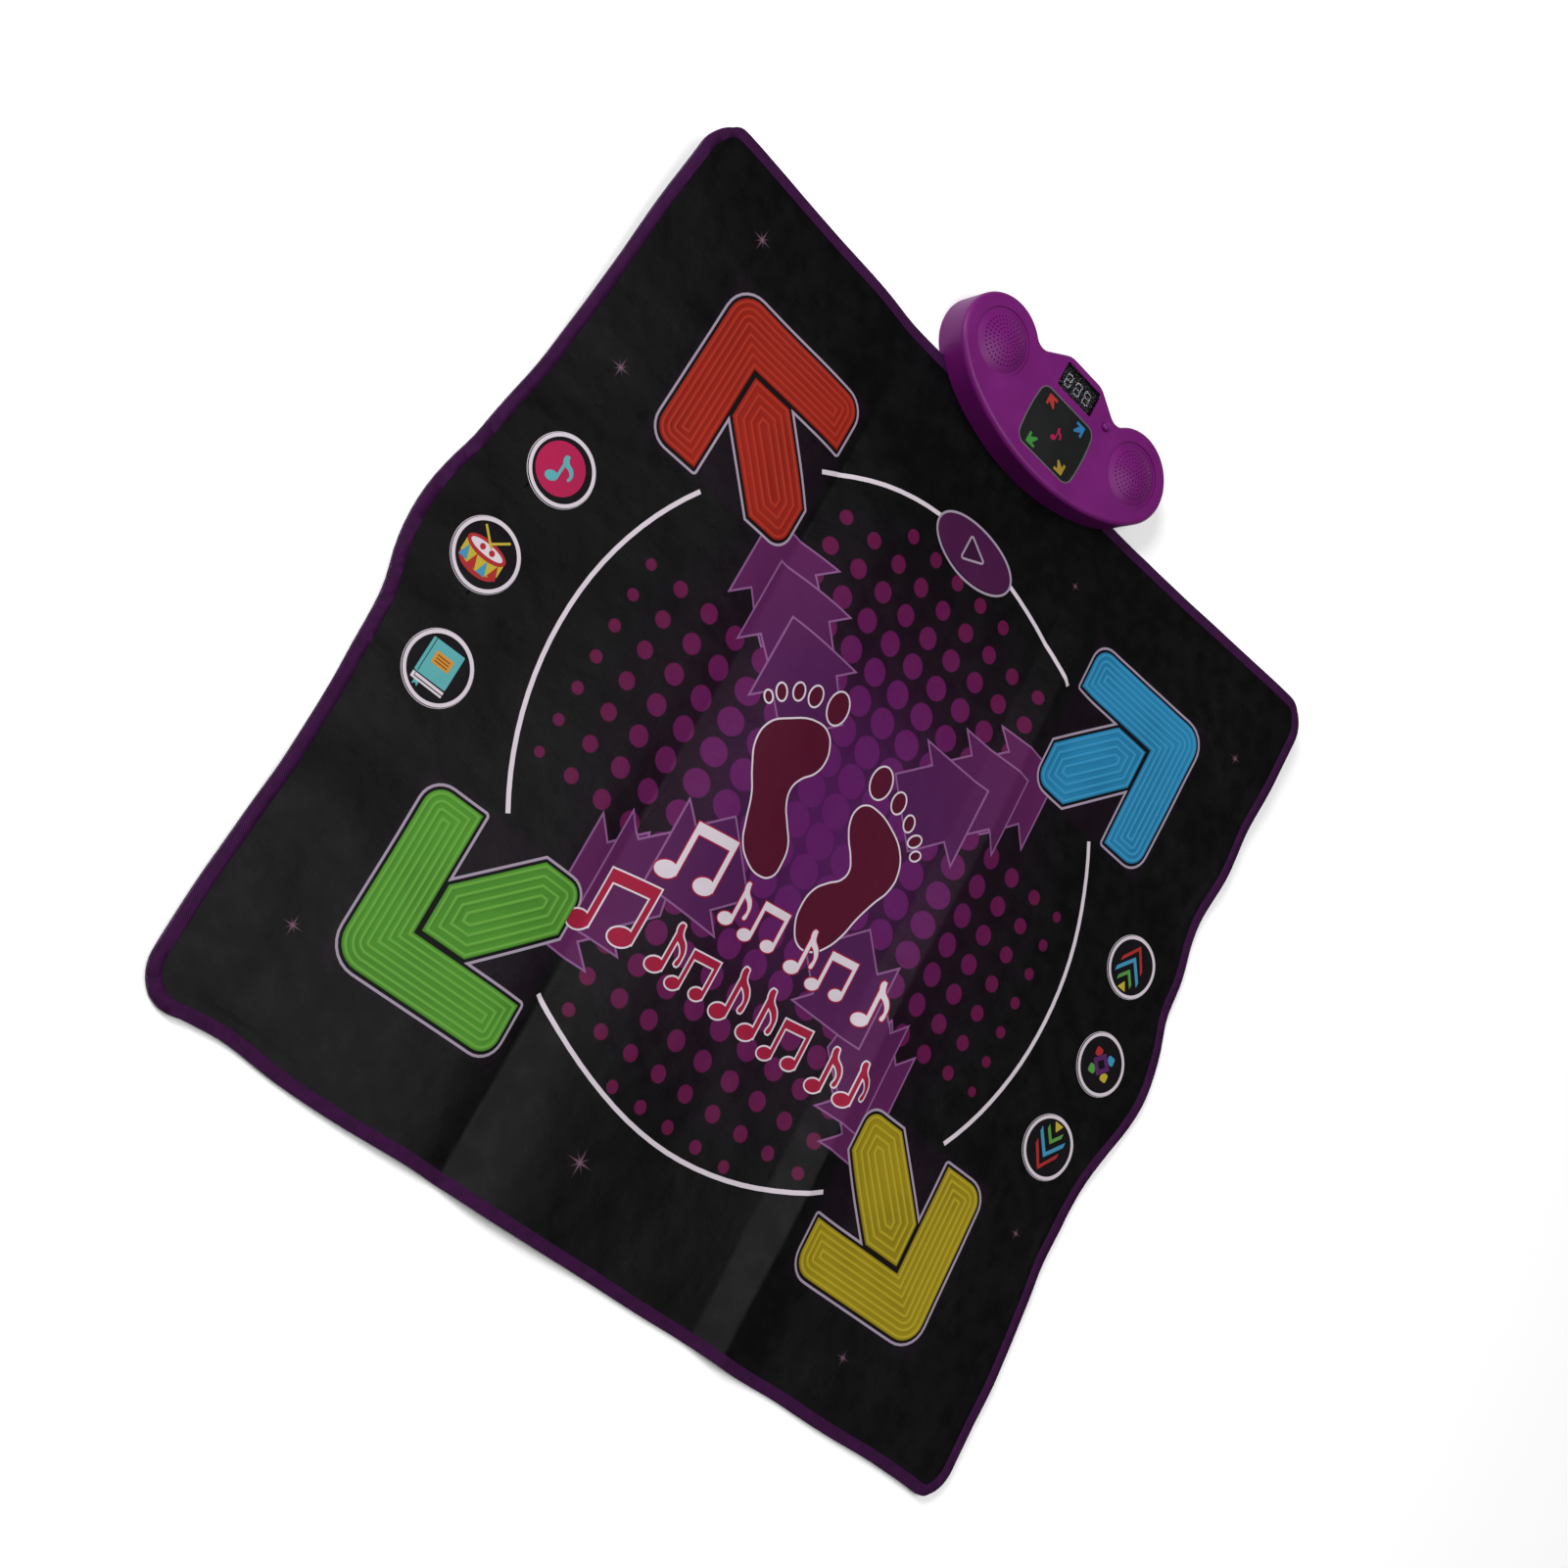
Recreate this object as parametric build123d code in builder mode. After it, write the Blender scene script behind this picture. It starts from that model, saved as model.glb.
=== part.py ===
from build123d import *
import os

# Folding dance mat with a control console clamped to its upper edge.
# Millimetres, +Z up. The origin is the centre of the mat on the floor, +Y points to the console.

# ---- mat, overall ----
mat_width = 930.0
mat_length = 920.0
mat_corner_radius = 38.0
side_swell = 24.0            # how far the foam pushes each side edge out at mid length
side_swell_half = 125.0      # half of the swollen stretch of a side edge

# ---- mat, layers from the floor up ----
base_sheet_thickness = 0.6
film_thickness = 0.2
spacer_thickness = 1.2
foam_thickness = 2.4
top_sheet_thickness = 0.6
binding_thickness = 0.6
binding_width = 11.0
layer_inset = 1.0            # foam and top sheet stop this far inside the mat's outline
film_inset = 30.0

# ---- press pads ----
pad_travel = 1.2
pad_gap = 0.2                # air left under a fully pressed pad
pad_clearance = 0.4          # round the pad, in its pocket
arrow_pad_rise = 2.0
small_pad_rise = 1.2
pad_edge_chamfer = 0.8
arrow_outer = 350.0          # outer faces of an arrow head, from the mat's centre
arrow_span = 165.0           # side of the square that an arrow fills
arrow_arm_width = 52.0
arrow_head_gap = 5.0         # between the head and the shaft
arrow_shaft_leg = 44.0       # the two short sides at each end of a shaft
arrow_tip_radius = 25.0
arrow_arm_radius = 19.0
arrow_tail_radius = 15.0
start_pad_length = 108.0
start_pad_width = 52.0
start_pad_y = 322.0
icon_pad_radius = 32.0
icon_x = 399.0
icon_mid_push = 17.0         # the middle icons follow the swollen side edges
icon_mid_y = -4.0
icon_pitch = 104.0
window_radius = 12.0         # contact windows in the spacer foam

# ---- console, outline ----
console_width = 302.0
console_back_y = 548.0       # back of the middle hump
console_front_y = 415.0      # foremost point of the front wall
lobe_radius = 49.0
lobe_back_y = 547.0
hump_top_half = 24.0
hump_foot_x = 64.0
hump_foot_drop = 25.0        # from the hump's back face down to its foot
valley_radius = 14.0
hump_radius = 22.0
front_radius = 240.0         # bow of the front wall
shoulder_radius = 110.0      # between the front wall and the lobes

# ---- console, heights ----
console_height = 38.0
parting_height = 14.0
console_wall = 2.2
rim_radius = 5.0
mat_slot_clearance = 0.3     # between the mat's upper face and the console over it
mat_edge_clearance = 1.2     # between the mat's edge and the console's step

# ---- speakers ----
dome_seat_radius = 34.0
dome_seat_depth = 2.0
dome_rim_width = 3.0         # flat flange round the dome
dome_base_radius = dome_seat_radius - dome_rim_width
dome_height = 7.0
dome_wall = 1.6
dome_flange_thickness = 1.0
dome_seat_clearance = 0.2
speaker_ring_depth = 1.6     # thickening under the seat
speaker_land = 4.0           # how far the opening stays inside the dome's foot
speaker_opening_radius = dome_base_radius - speaker_land
speaker_frame_width = 3.0
speaker_frame_radius = speaker_opening_radius + speaker_frame_width
speaker_frame_thickness = 2.0
speaker_basket_depth = 11.0
speaker_magnet_radius = 14.0
speaker_magnet_height = 7.0
grille_hole_radius = 0.8
grille_rings = 6
grille_margin = 7.0          # plain rim of the dome, outside the last ring of holes
grille_ring_pitch = (dome_base_radius - grille_margin) / grille_rings

# ---- display ----
display_width = 52.0
display_depth = 29.0
display_y = 524.5
display_corner = 2.5
display_recess = 1.4         # the lens sits this far below the console's top
lens_flange = 1.0
lens_thickness = 0.8
lens_fit = 0.15
lens_gap = 0.2               # air between the figures and the lens
digit_count = 3
digit_pitch = 14.0
digit_width = 9.0
digit_height = 15.0
digit_stroke = 1.6
digit_stroke_gap = 0.7       # of a stroke's width, where two strokes meet

# ---- arrow panel ----
panel_width = 78.0
panel_depth = 70.0
panel_bow = 3.0
panel_y = 466.5
panel_corner = 12.0
panel_thickness = 1.2
panel_border = 1.5
panel_border_proud = 0.3
lamp_x = 21.5
lamp_y = 24.0
lamp_arrow_size = 12.0

# ---- power button ----
button_x = 47.0
button_y = 515.5
button_radius = 4.5
button_clearance = 0.3
button_proud = 4.0
button_travel = 1.0
button_flange = 1.4
button_flange_gap = 0.2
button_round = 0.7           # of the button's radius
button_stem_radius = 1.8
switch_side = 6.0
switch_body_height = 3.4
switch_plunger_height = 0.6
switch_gap = 0.1

# ---- boards and batteries ----
board_thickness = 1.6
board_half_width = 53.0
board_front_y = 436.0
board_shoulder_y = 520.0
board_tongue_half = 30.0
board_back_y = 540.0
board_height = 22.0
board_screw_radius = 1.2
board_screw_length = 7.0
post_radius = 3.0
post_x = 40.0
post_front_y = 446.0
post_back_y = 512.0
cell_radius = 7.25
cell_length = 50.5
cell_gap = 0.7
cell_pitch = 2 * cell_radius + cell_gap
cell_edge_round = 0.6
cell_count = 3
cell_row_y = 509.0
cell_room = 3.2              # for the contacts, at each end
bay_play = 0.5
bay_wall = 1.6
door_thickness = 1.8
door_recess = 0.2
door_clearance = 0.3
door_tab_width = 16.0
door_tab_length = 9.0

# ---- fasteners ----
screw_radius = 1.5
screw_head_radius = 2.8
screw_head_height = 1.8
boss_radius = 3.8
head_hole_clearance = 0.3
side_boss_inset = 10.5       # side bosses, in from the console's widest point
back_boss_x = 61.0
back_boss_y = 503.0
front_boss_x = 70.0
plate_half_length = 125.0
plate_front_y = 437.0
plate_edge_gap = 4.0
tail_half_width = 12.0
tail_y = 433.0
connector_depth = 6.0
connector_height = 4.5

os.makedirs("parts", exist_ok=True)

# ---- derived levels ----
film_low_z = base_sheet_thickness
spacer_z = film_low_z + film_thickness
film_high_z = spacer_z + spacer_thickness
foam_z = film_high_z + film_thickness
top_sheet_z = foam_z + foam_thickness
mat_top_z = top_sheet_z + top_sheet_thickness
binding_top_z = mat_top_z + binding_thickness
pad_bottom_z = foam_z + pad_travel + pad_gap
mat_back_y = mat_length / 2

console_floor_z = binding_top_z + mat_slot_clearance
console_inner_front_z = console_floor_z + console_wall
console_roof_z = console_height - console_wall
step_y = mat_back_y + mat_edge_clearance
lobe_x = console_width / 2 - lobe_radius
lobe_y = lobe_back_y - lobe_radius
hump_foot_y = console_back_y - hump_foot_drop
dome_seat_z = console_height - dome_seat_depth
speaker_top_z = console_roof_z - speaker_ring_depth
board_top_z = board_height + board_thickness
panel_z = console_height - panel_thickness
lens_z = console_height - display_recess

bay_half_x = cell_length / 2 + cell_room
bay_half_y = (cell_count - 1) * cell_pitch / 2 + cell_radius + bay_play
cell_z = door_recess + door_thickness + bay_play + cell_radius
bay_roof_z = cell_z + cell_radius + bay_play

side_boss = (console_width / 2 - side_boss_inset, lobe_y)
back_boss = (back_boss_x, back_boss_y)
plate_back_y = mat_back_y - plate_edge_gap
front_boss = (front_boss_x, (plate_front_y + plate_back_y) / 2)
rear_boss_points = [(sign * x, y) for x, y in (side_boss, back_boss) for sign in (-1, 1)]
front_boss_points = [(sign * front_boss[0], front_boss[1]) for sign in (-1, 1)]
boss_points = rear_boss_points + front_boss_points
front_post_points = [(sign * post_x, post_front_y) for sign in (-1, 1)]
rear_post_points = [(sign * post_x, post_back_y) for sign in (-1, 1)]
post_points = front_post_points + rear_post_points
cell_rows = [cell_row_y + (i - (cell_count - 1) / 2) * cell_pitch for i in range(cell_count)]
lamp_points = {
    "red": (-lamp_x, panel_y + lamp_y),
    "blue": (lamp_x, panel_y + lamp_y),
    "green": (-lamp_x, panel_y - lamp_y),
    "yellow": (lamp_x, panel_y - lamp_y),
}
arrow_signs = {"red": (-1, 1), "blue": (1, 1), "green": (-1, -1), "yellow": (1, -1)}
icon_points = {
    "wing": (-icon_x, icon_mid_y + icon_pitch),
    "drum": (-icon_x - icon_mid_push, icon_mid_y),
    "book": (-icon_x, icon_mid_y - icon_pitch),
    "faster": (icon_x, icon_mid_y + icon_pitch),
    "players": (icon_x + icon_mid_push, icon_mid_y),
    "slower": (icon_x, icon_mid_y - icon_pitch),
}


def write(piece, name):
    piece.part.label = name
    export_step(piece.part, f"parts/{name}.step")


# ---- outlines ----
def mat_outline(inset):
    """The mat's plan: a rounded rectangle whose side edges swell at mid length."""
    half_w = mat_width / 2 - inset
    half_l = mat_length / 2 - inset
    with BuildSketch() as outline:
        with BuildLine():
            for side in (-1, 1):
                edge = side * half_w
                middle = side * (half_w + side_swell / 2)
                peak = side * (half_w + side_swell)
                Line((edge, -half_l), (edge, -side_swell_half))
                TangentArc((edge, -side_swell_half), (middle, -side_swell_half / 2), tangent=(0, 1))
                ThreePointArc((middle, -side_swell_half / 2), (peak, 0), (middle, side_swell_half / 2))
                TangentArc((edge, side_swell_half), (middle, side_swell_half / 2), tangent=(0, -1))
                Line((edge, side_swell_half), (edge, half_l))
                Line((-half_w, side * half_l), (half_w, side * half_l))
        make_face()
        corners = [v for v in outline.vertices() if abs(v.Y) > half_l - 1]
        fillet(corners, mat_corner_radius - inset)
    return outline.sketch


def arrow_head(signs, grow=0.0):
    """The head of one arrow: two arms that meet at the arrow's tip, away from the mat's centre."""
    sx, sy = signs
    near = arrow_outer - arrow_span
    inner = arrow_outer - arrow_arm_width
    plan = [(near, arrow_outer), (arrow_outer, arrow_outer), (arrow_outer, near),
            (inner, near), (inner, inner), (near, inner)]
    with BuildSketch() as head:
        with BuildLine():
            Polyline(*[(sx * x, sy * y) for x, y in plan], close=True)
        make_face()
        tip = head.vertices().sort_by_distance((sx * arrow_outer, sy * arrow_outer))[0]
        fillet(tip, arrow_tip_radius)
        for point in (plan[0], plan[2]):
            end = head.vertices().sort_by_distance((sx * point[0], sy * point[1]))[0]
            fillet(end, arrow_arm_radius)
        if grow:
            offset(amount=grow, kind=Kind.INTERSECTION)
    return head.sketch


def arrow_shaft(signs, grow=0.0):
    """The shaft of one arrow: a square with two opposite corners cut, its tail rounded."""
    sx, sy = signs
    low = arrow_outer - arrow_span
    high = arrow_outer - arrow_arm_width - arrow_head_gap
    leg = arrow_shaft_leg
    plan = [(high, high), (high, high - leg), (low + leg, low),
            (low, low), (low, low + leg), (high - leg, high)]
    with BuildSketch() as shaft:
        with BuildLine():
            Polyline(*[(sx * x, sy * y) for x, y in plan], close=True)
        make_face()
        tail = shaft.vertices().sort_by_distance((sx * low, sy * low))[0]
        fillet(tail, arrow_tail_radius)
        if grow:
            offset(amount=grow, kind=Kind.INTERSECTION)
    return shaft.sketch


def start_oval(grow=0.0):
    with BuildSketch() as oval:
        with Locations((0, start_pad_y)):
            Ellipse(start_pad_length / 2 + grow, start_pad_width / 2 + grow)
    return oval.sketch


def icon_disc(point, grow=0.0):
    with BuildSketch() as disc:
        with Locations(point):
            Circle(icon_pad_radius + grow)
    return disc.sketch


def pad_pockets():
    """Every pad's pocket, cut through the foam and the top sheet."""
    pockets = [start_oval(pad_clearance)]
    for signs in arrow_signs.values():
        pockets.append(arrow_head(signs, pad_clearance))
        pockets.append(arrow_shaft(signs, pad_clearance))
    for point in icon_points.values():
        pockets.append(icon_disc(point, pad_clearance))
    return pockets


def plate_outline(grow=0.0):
    with BuildSketch() as plate:
        with Locations((0, (plate_front_y + plate_back_y) / 2)):
            Rectangle(2 * plate_half_length + 2 * grow, plate_back_y - plate_front_y + 2 * grow)
    return plate.sketch


def front_curve():
    """Where the front arc meets the shoulder arc, the middle of that arc, and where it meets the lobe."""
    front_centre = Vector(0, console_front_y + front_radius)
    lobe_centre = Vector(lobe_x, lobe_y)
    span = lobe_centre - front_centre
    to_shoulder = front_radius - shoulder_radius
    to_lobe = shoulder_radius - lobe_radius
    along = (to_shoulder**2 - to_lobe**2 + span.length**2) / (2 * span.length)
    aside = (to_shoulder**2 - along**2) ** 0.5
    way = span.normalized()
    shoulder_centre = front_centre + way * along + Vector(way.Y, -way.X) * aside
    start = front_centre + (shoulder_centre - front_centre).normalized() * front_radius
    end = shoulder_centre + (lobe_centre - shoulder_centre).normalized() * shoulder_radius
    half_way = ((start + end) / 2 - shoulder_centre).normalized()
    middle = shoulder_centre + half_way * shoulder_radius
    return start, middle, end


def console_outline(inset=0.0):
    """The console's plan: two round lobes, a hump between them at the back, a bowed front."""
    start, middle, end = front_curve()
    with BuildSketch() as outline:
        with BuildLine():
            ThreePointArc((-start.X, start.Y), (0, console_front_y), (start.X, start.Y))
            for side in (-1, 1):
                ThreePointArc((side * start.X, start.Y), (side * middle.X, middle.Y), (side * end.X, end.Y))
                Line((side * end.X, end.Y), (side * lobe_x, lobe_y))
            Line((-lobe_x, lobe_y), (lobe_x, lobe_y))
        make_face()
        with BuildLine():
            Polyline(
                (-hump_foot_x, lobe_y),
                (-hump_foot_x, hump_foot_y),
                (-hump_top_half, console_back_y),
                (hump_top_half, console_back_y),
                (hump_foot_x, hump_foot_y),
                (hump_foot_x, lobe_y),
                close=True,
            )
        make_face()
        with Locations((-lobe_x, lobe_y), (lobe_x, lobe_y)):
            Circle(lobe_radius)
        hump_corners = [v for v in outline.vertices() if v.Y > console_back_y - 1 and abs(v.X) < lobe_radius]
        fillet(hump_corners, hump_radius)
        back = outline.vertices().filter_by(lambda v: v.Y > lobe_y + 1)
        valleys = back.sort_by(lambda v: abs(abs(v.X) - hump_foot_x))[:2]
        fillet(valleys, valley_radius)
        if inset:
            offset(amount=-inset, kind=Kind.INTERSECTION)
    return outline.sketch


def console_block(inset, low, high, rim):
    """A solid of the console's plan with its upper rim rounded."""
    with BuildPart() as block:
        with BuildSketch(Plane.XY.offset(low)):
            add(console_outline(inset))
        extrude(amount=high - low)
        fillet(block.faces().sort_by(Axis.Z)[-1].edges(), rim)
    return block.part


def panel_outline(inset=0.0):
    """The arrow panel's plan: a rounded rectangle with gently bowed sides."""
    half_w = panel_width / 2
    half_d = panel_depth / 2
    with BuildSketch() as outline:
        with BuildLine():
            for side in (-1, 1):
                x = side * half_w
                bow_x = side * (half_w + panel_bow)
                ThreePointArc((x, panel_y - half_d), (bow_x, panel_y), (x, panel_y + half_d))
                Line((-half_w, panel_y + side * half_d), (half_w, panel_y + side * half_d))
        make_face()
        fillet(outline.vertices(), panel_corner)
        if inset:
            offset(amount=-inset, kind=Kind.INTERSECTION)
    return outline.sketch


def lamp_arrow(colour):
    """A small arrow in the panel, pointing the way its big arrow on the mat does."""
    sx, sy = arrow_signs[colour]
    cx, cy = lamp_points[colour]
    half = lamp_arrow_size / 2
    arm = lamp_arrow_size / 4
    bar = arm / 2
    plan = [(half, half), (half, -half), (half - arm, -half), (half - arm, half - 2 * arm - bar),
            (-half + bar, -half), (-half, -half + bar), (half - 2 * arm - bar, half - arm),
            (-half, half - arm), (-half, half)]
    with BuildSketch() as arrow:
        with BuildLine():
            Polyline(*[(cx + sx * x, cy + sy * y) for x, y in plan], close=True)
        make_face()
    return arrow.sketch


def slab(plan, low, high):
    """A flat piece of a given plan between two heights."""
    with BuildPart() as piece:
        with BuildSketch(Plane.XY.offset(low)):
            add(plan)
        extrude(amount=high - low)
    return piece.part


def posts(points, radius, low, high):
    """Round columns on a list of points."""
    with BuildPart() as columns:
        with BuildSketch(Plane.XY.offset(low)):
            with Locations(*points):
                Circle(radius)
        extrude(amount=high - low)
    return columns.part


# ---- mat layers ----
def layer(name, inset, low, high, cuts):
    """One sheet of the mat: its outline, extruded, less the given plans."""
    with BuildPart() as sheet:
        with BuildSketch(Plane.XY.offset(low)):
            add(mat_outline(inset))
            for plan in cuts:
                add(plan, mode=Mode.SUBTRACT)
        extrude(amount=high - low)
    write(sheet, name)


def discs(points, radius):
    """A plan of equal discs."""
    with BuildSketch() as plan:
        with Locations(*points):
            Circle(radius)
    return plan.sketch


def contact_windows():
    """Where the spacer foam lets the two films meet: three under a head, two under a shaft."""
    arm_mid = arrow_outer - arrow_arm_width / 2
    arm_end = arrow_outer - arrow_span + arrow_arm_radius + window_radius
    shaft_high = arrow_outer - arrow_arm_width - arrow_head_gap - arrow_shaft_leg
    shaft_low = arrow_outer - arrow_span + arrow_shaft_leg
    points = []
    for sx, sy in arrow_signs.values():
        points += [(sx * arm_mid, sy * arm_mid), (sx * arm_end, sy * arm_mid), (sx * arm_mid, sy * arm_end)]
        points += [(sx * shaft_high, sy * shaft_high), (sx * shaft_low, sy * shaft_low)]
    points += [(side * start_pad_length / 4, start_pad_y) for side in (-1, 1)]
    points += list(icon_points.values())
    return discs(points, window_radius)


def tail_slot(grow):
    """The narrow slot that the film's tail rises through."""
    with BuildSketch() as slot:
        with Locations((0, tail_y + film_thickness / 2)):
            Rectangle(2 * tail_half_width + 2 * grow, film_thickness + 2 * grow)
    return slot.sketch


slot_play = 0.6
head_hole_radius = screw_head_radius + head_hole_clearance
screw_hole_radius = screw_radius + head_hole_clearance
plate_room = plate_outline(pad_clearance)
film_plate_room = plate_outline(film_inset)

layer("base_sheet", binding_width, 0, base_sheet_thickness, [discs(front_boss_points, head_hole_radius)])
layer("contact_film_lower", film_inset, film_low_z, spacer_z, [film_plate_room])
layer("spacer_foam", layer_inset, spacer_z, film_high_z, [plate_room, contact_windows()])
layer("contact_film_upper", film_inset, film_high_z, foam_z, [film_plate_room])
layer("foam_pad", layer_inset, foam_z, top_sheet_z, [plate_room, tail_slot(slot_play), *pad_pockets()])
layer(
    "top_sheet",
    layer_inset,
    top_sheet_z,
    mat_top_z,
    [tail_slot(slot_play), discs(front_boss_points, screw_hole_radius), *pad_pockets()],
)

with BuildPart() as edge_binding:
    with BuildSketch():
        add(mat_outline(0))
        add(mat_outline(binding_width), mode=Mode.SUBTRACT)
    extrude(amount=binding_top_z)
    with BuildSketch(Plane.XY.offset(base_sheet_thickness)):
        add(mat_outline(layer_inset))
    extrude(amount=mat_top_z - base_sheet_thickness, mode=Mode.SUBTRACT)
write(edge_binding, "edge_binding")

with BuildPart() as mounting_plate:
    add(slab(plate_outline(), base_sheet_thickness, top_sheet_z))
    head_room_z = base_sheet_thickness + screw_head_height
    add(posts(front_boss_points, head_hole_radius, 0, head_room_z), mode=Mode.SUBTRACT)
    add(posts(front_boss_points, screw_radius, 0, top_sheet_z), mode=Mode.SUBTRACT)
write(mounting_plate, "mounting_plate")


# ---- press pads ----
def press_pad(name, plan, rise):
    """A foam-filled pad in its pocket, its upper edge softened."""
    with BuildPart() as pad:
        with BuildSketch(Plane.XY.offset(pad_bottom_z)):
            add(plan)
        extrude(amount=mat_top_z + rise - pad_bottom_z)
        chamfer(pad.faces().sort_by(Axis.Z)[-1].edges(), pad_edge_chamfer)
    write(pad, name)


for colour, signs in arrow_signs.items():
    press_pad(f"arrow_head_{colour}", arrow_head(signs), arrow_pad_rise)
    press_pad(f"arrow_shaft_{colour}", arrow_shaft(signs), arrow_pad_rise)
press_pad("start_pad", start_oval(), small_pad_rise)
for icon, point in icon_points.items():
    press_pad(f"icon_pad_{icon}", icon_disc(point), small_pad_rise)

# ---- console shells ----
with BuildPart() as console_cavity:
    add(console_block(console_wall, console_inner_front_z, console_roof_z, rim_radius - console_wall))
    with BuildSketch(Plane.XY.offset(console_wall)):
        add(console_outline(console_wall))
        with Locations((0, step_y + console_wall - console_width)):
            Rectangle(2 * console_width, 2 * console_width, mode=Mode.SUBTRACT)
    extrude(amount=console_inner_front_z - console_wall)

with BuildPart() as console_solid:
    add(console_block(0, 0, console_height, rim_radius))
    with BuildSketch():
        with Locations((0, step_y - console_width)):
            Rectangle(2 * console_width, 2 * console_width)
    extrude(amount=console_floor_z, mode=Mode.SUBTRACT)

lobe_points = [(-lobe_x, lobe_y), (lobe_x, lobe_y)]

with BuildPart() as console_top_shell:
    add(console_solid.part)
    add(console_cavity.part, mode=Mode.SUBTRACT)
    add(posts(boss_points, boss_radius, parting_height, console_roof_z))
    add(posts(lobe_points, dome_seat_radius + console_wall, speaker_top_z, console_roof_z))
    split(bisect_by=Plane.XY.offset(parting_height), keep=Keep.TOP)
    add(posts(boss_points, screw_radius, parting_height, console_roof_z - console_wall), mode=Mode.SUBTRACT)
    add(posts(lobe_points, dome_seat_radius, dome_seat_z, console_height), mode=Mode.SUBTRACT)
    add(posts(lobe_points, speaker_opening_radius, speaker_top_z, console_height), mode=Mode.SUBTRACT)
    with BuildSketch(Plane.XY.offset(console_roof_z)):
        with Locations((0, display_y)):
            RectangleRounded(display_width, display_depth, display_corner)
    extrude(amount=console_wall, mode=Mode.SUBTRACT)
    add(slab(panel_outline(), panel_z, console_height), mode=Mode.SUBTRACT)
    for colour in arrow_signs:
        add(slab(lamp_arrow(colour), console_roof_z, console_height), mode=Mode.SUBTRACT)
    button_hole_radius = button_radius + button_clearance
    add(posts([(button_x, button_y)], button_hole_radius, console_roof_z, console_height), mode=Mode.SUBTRACT)
write(console_top_shell, "console_top_shell")

tail_hole_play = 1.0
tab_y = cell_row_y - bay_half_y - door_tab_length / 2

with BuildPart() as console_bottom_shell:
    add(console_solid.part)
    add(console_cavity.part, mode=Mode.SUBTRACT)
    split(bisect_by=Plane.XY.offset(parting_height), keep=Keep.BOTTOM)
    add(posts(rear_boss_points, boss_radius, 0, parting_height))
    add(posts(front_boss_points, boss_radius, console_floor_z, parting_height))
    add(posts(front_post_points, post_radius, console_floor_z, board_height))
    add(posts(rear_post_points, post_radius, 0, board_height))
    with BuildSketch():
        with Locations((0, cell_row_y)):
            Rectangle(2 * bay_half_x + 2 * bay_wall, 2 * bay_half_y + 2 * bay_wall)
    extrude(amount=bay_roof_z + bay_wall)
    with BuildSketch():
        with Locations((0, tab_y)):
            Rectangle(door_tab_width + 2 * bay_wall, door_tab_length + 2 * bay_wall)
    extrude(amount=parting_height)
    with BuildSketch():
        with Locations((0, cell_row_y)):
            Rectangle(2 * bay_half_x, 2 * bay_half_y)
    extrude(amount=bay_roof_z, mode=Mode.SUBTRACT)
    with BuildSketch():
        with Locations((0, tab_y)):
            Rectangle(door_tab_width, door_tab_length)
    extrude(amount=door_recess + door_thickness + door_clearance, mode=Mode.SUBTRACT)
    add(posts([(0, tab_y)], screw_hole_radius, 0, parting_height - console_wall), mode=Mode.SUBTRACT)
    add(posts(rear_boss_points, head_hole_radius, 0, console_wall + screw_head_height), mode=Mode.SUBTRACT)
    add(posts(boss_points, screw_radius, 0, parting_height), mode=Mode.SUBTRACT)
    board_screw_low_z = board_height - board_screw_length
    add(posts(post_points, board_screw_radius, board_screw_low_z, board_height), mode=Mode.SUBTRACT)
    add(slab(tail_slot(tail_hole_play), 0, parting_height), mode=Mode.SUBTRACT)
write(console_bottom_shell, "console_bottom_shell")


# ---- speakers and their domes ----
def dome_grille(name, point):
    """A pierced dome on a thin flange, seated in a round recess of the top shell."""
    rim = dome_seat_radius - dome_seat_clearance
    flange_top = dome_seat_z + dome_flange_thickness
    rise = dome_height + console_height - flange_top
    ball = (dome_base_radius**2 + rise**2) / (2 * rise)
    centre_z = flange_top + rise - ball
    with BuildPart() as grille:
        with BuildSketch(Plane.XZ) as profile:
            with BuildLine():
                inner_ball = ball - dome_wall
                inner_foot = (inner_ball**2 - (dome_seat_z - centre_z) ** 2) ** 0.5
                Line((dome_base_radius, flange_top), (rim, flange_top))
                Line((rim, flange_top), (rim, dome_seat_z))
                Line((rim, dome_seat_z), (inner_foot, dome_seat_z))
                RadiusArc((inner_foot, dome_seat_z), (0, centre_z + inner_ball), -inner_ball)
                Line((0, centre_z + inner_ball), (0, centre_z + ball))
                RadiusArc((0, centre_z + ball), (dome_base_radius, flange_top), ball)
            make_face()
        revolve(axis=Axis.Z)
        with BuildSketch(Plane.XY.offset(dome_seat_z)):
            Circle(grille_hole_radius)
            for ring in range(1, grille_rings + 1):
                with PolarLocations(ring * grille_ring_pitch, 6 * ring):
                    Circle(grille_hole_radius)
        extrude(amount=dome_height + console_height, mode=Mode.SUBTRACT)
    grille.part.position = (point[0], point[1], 0)
    write(grille, name)


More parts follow.
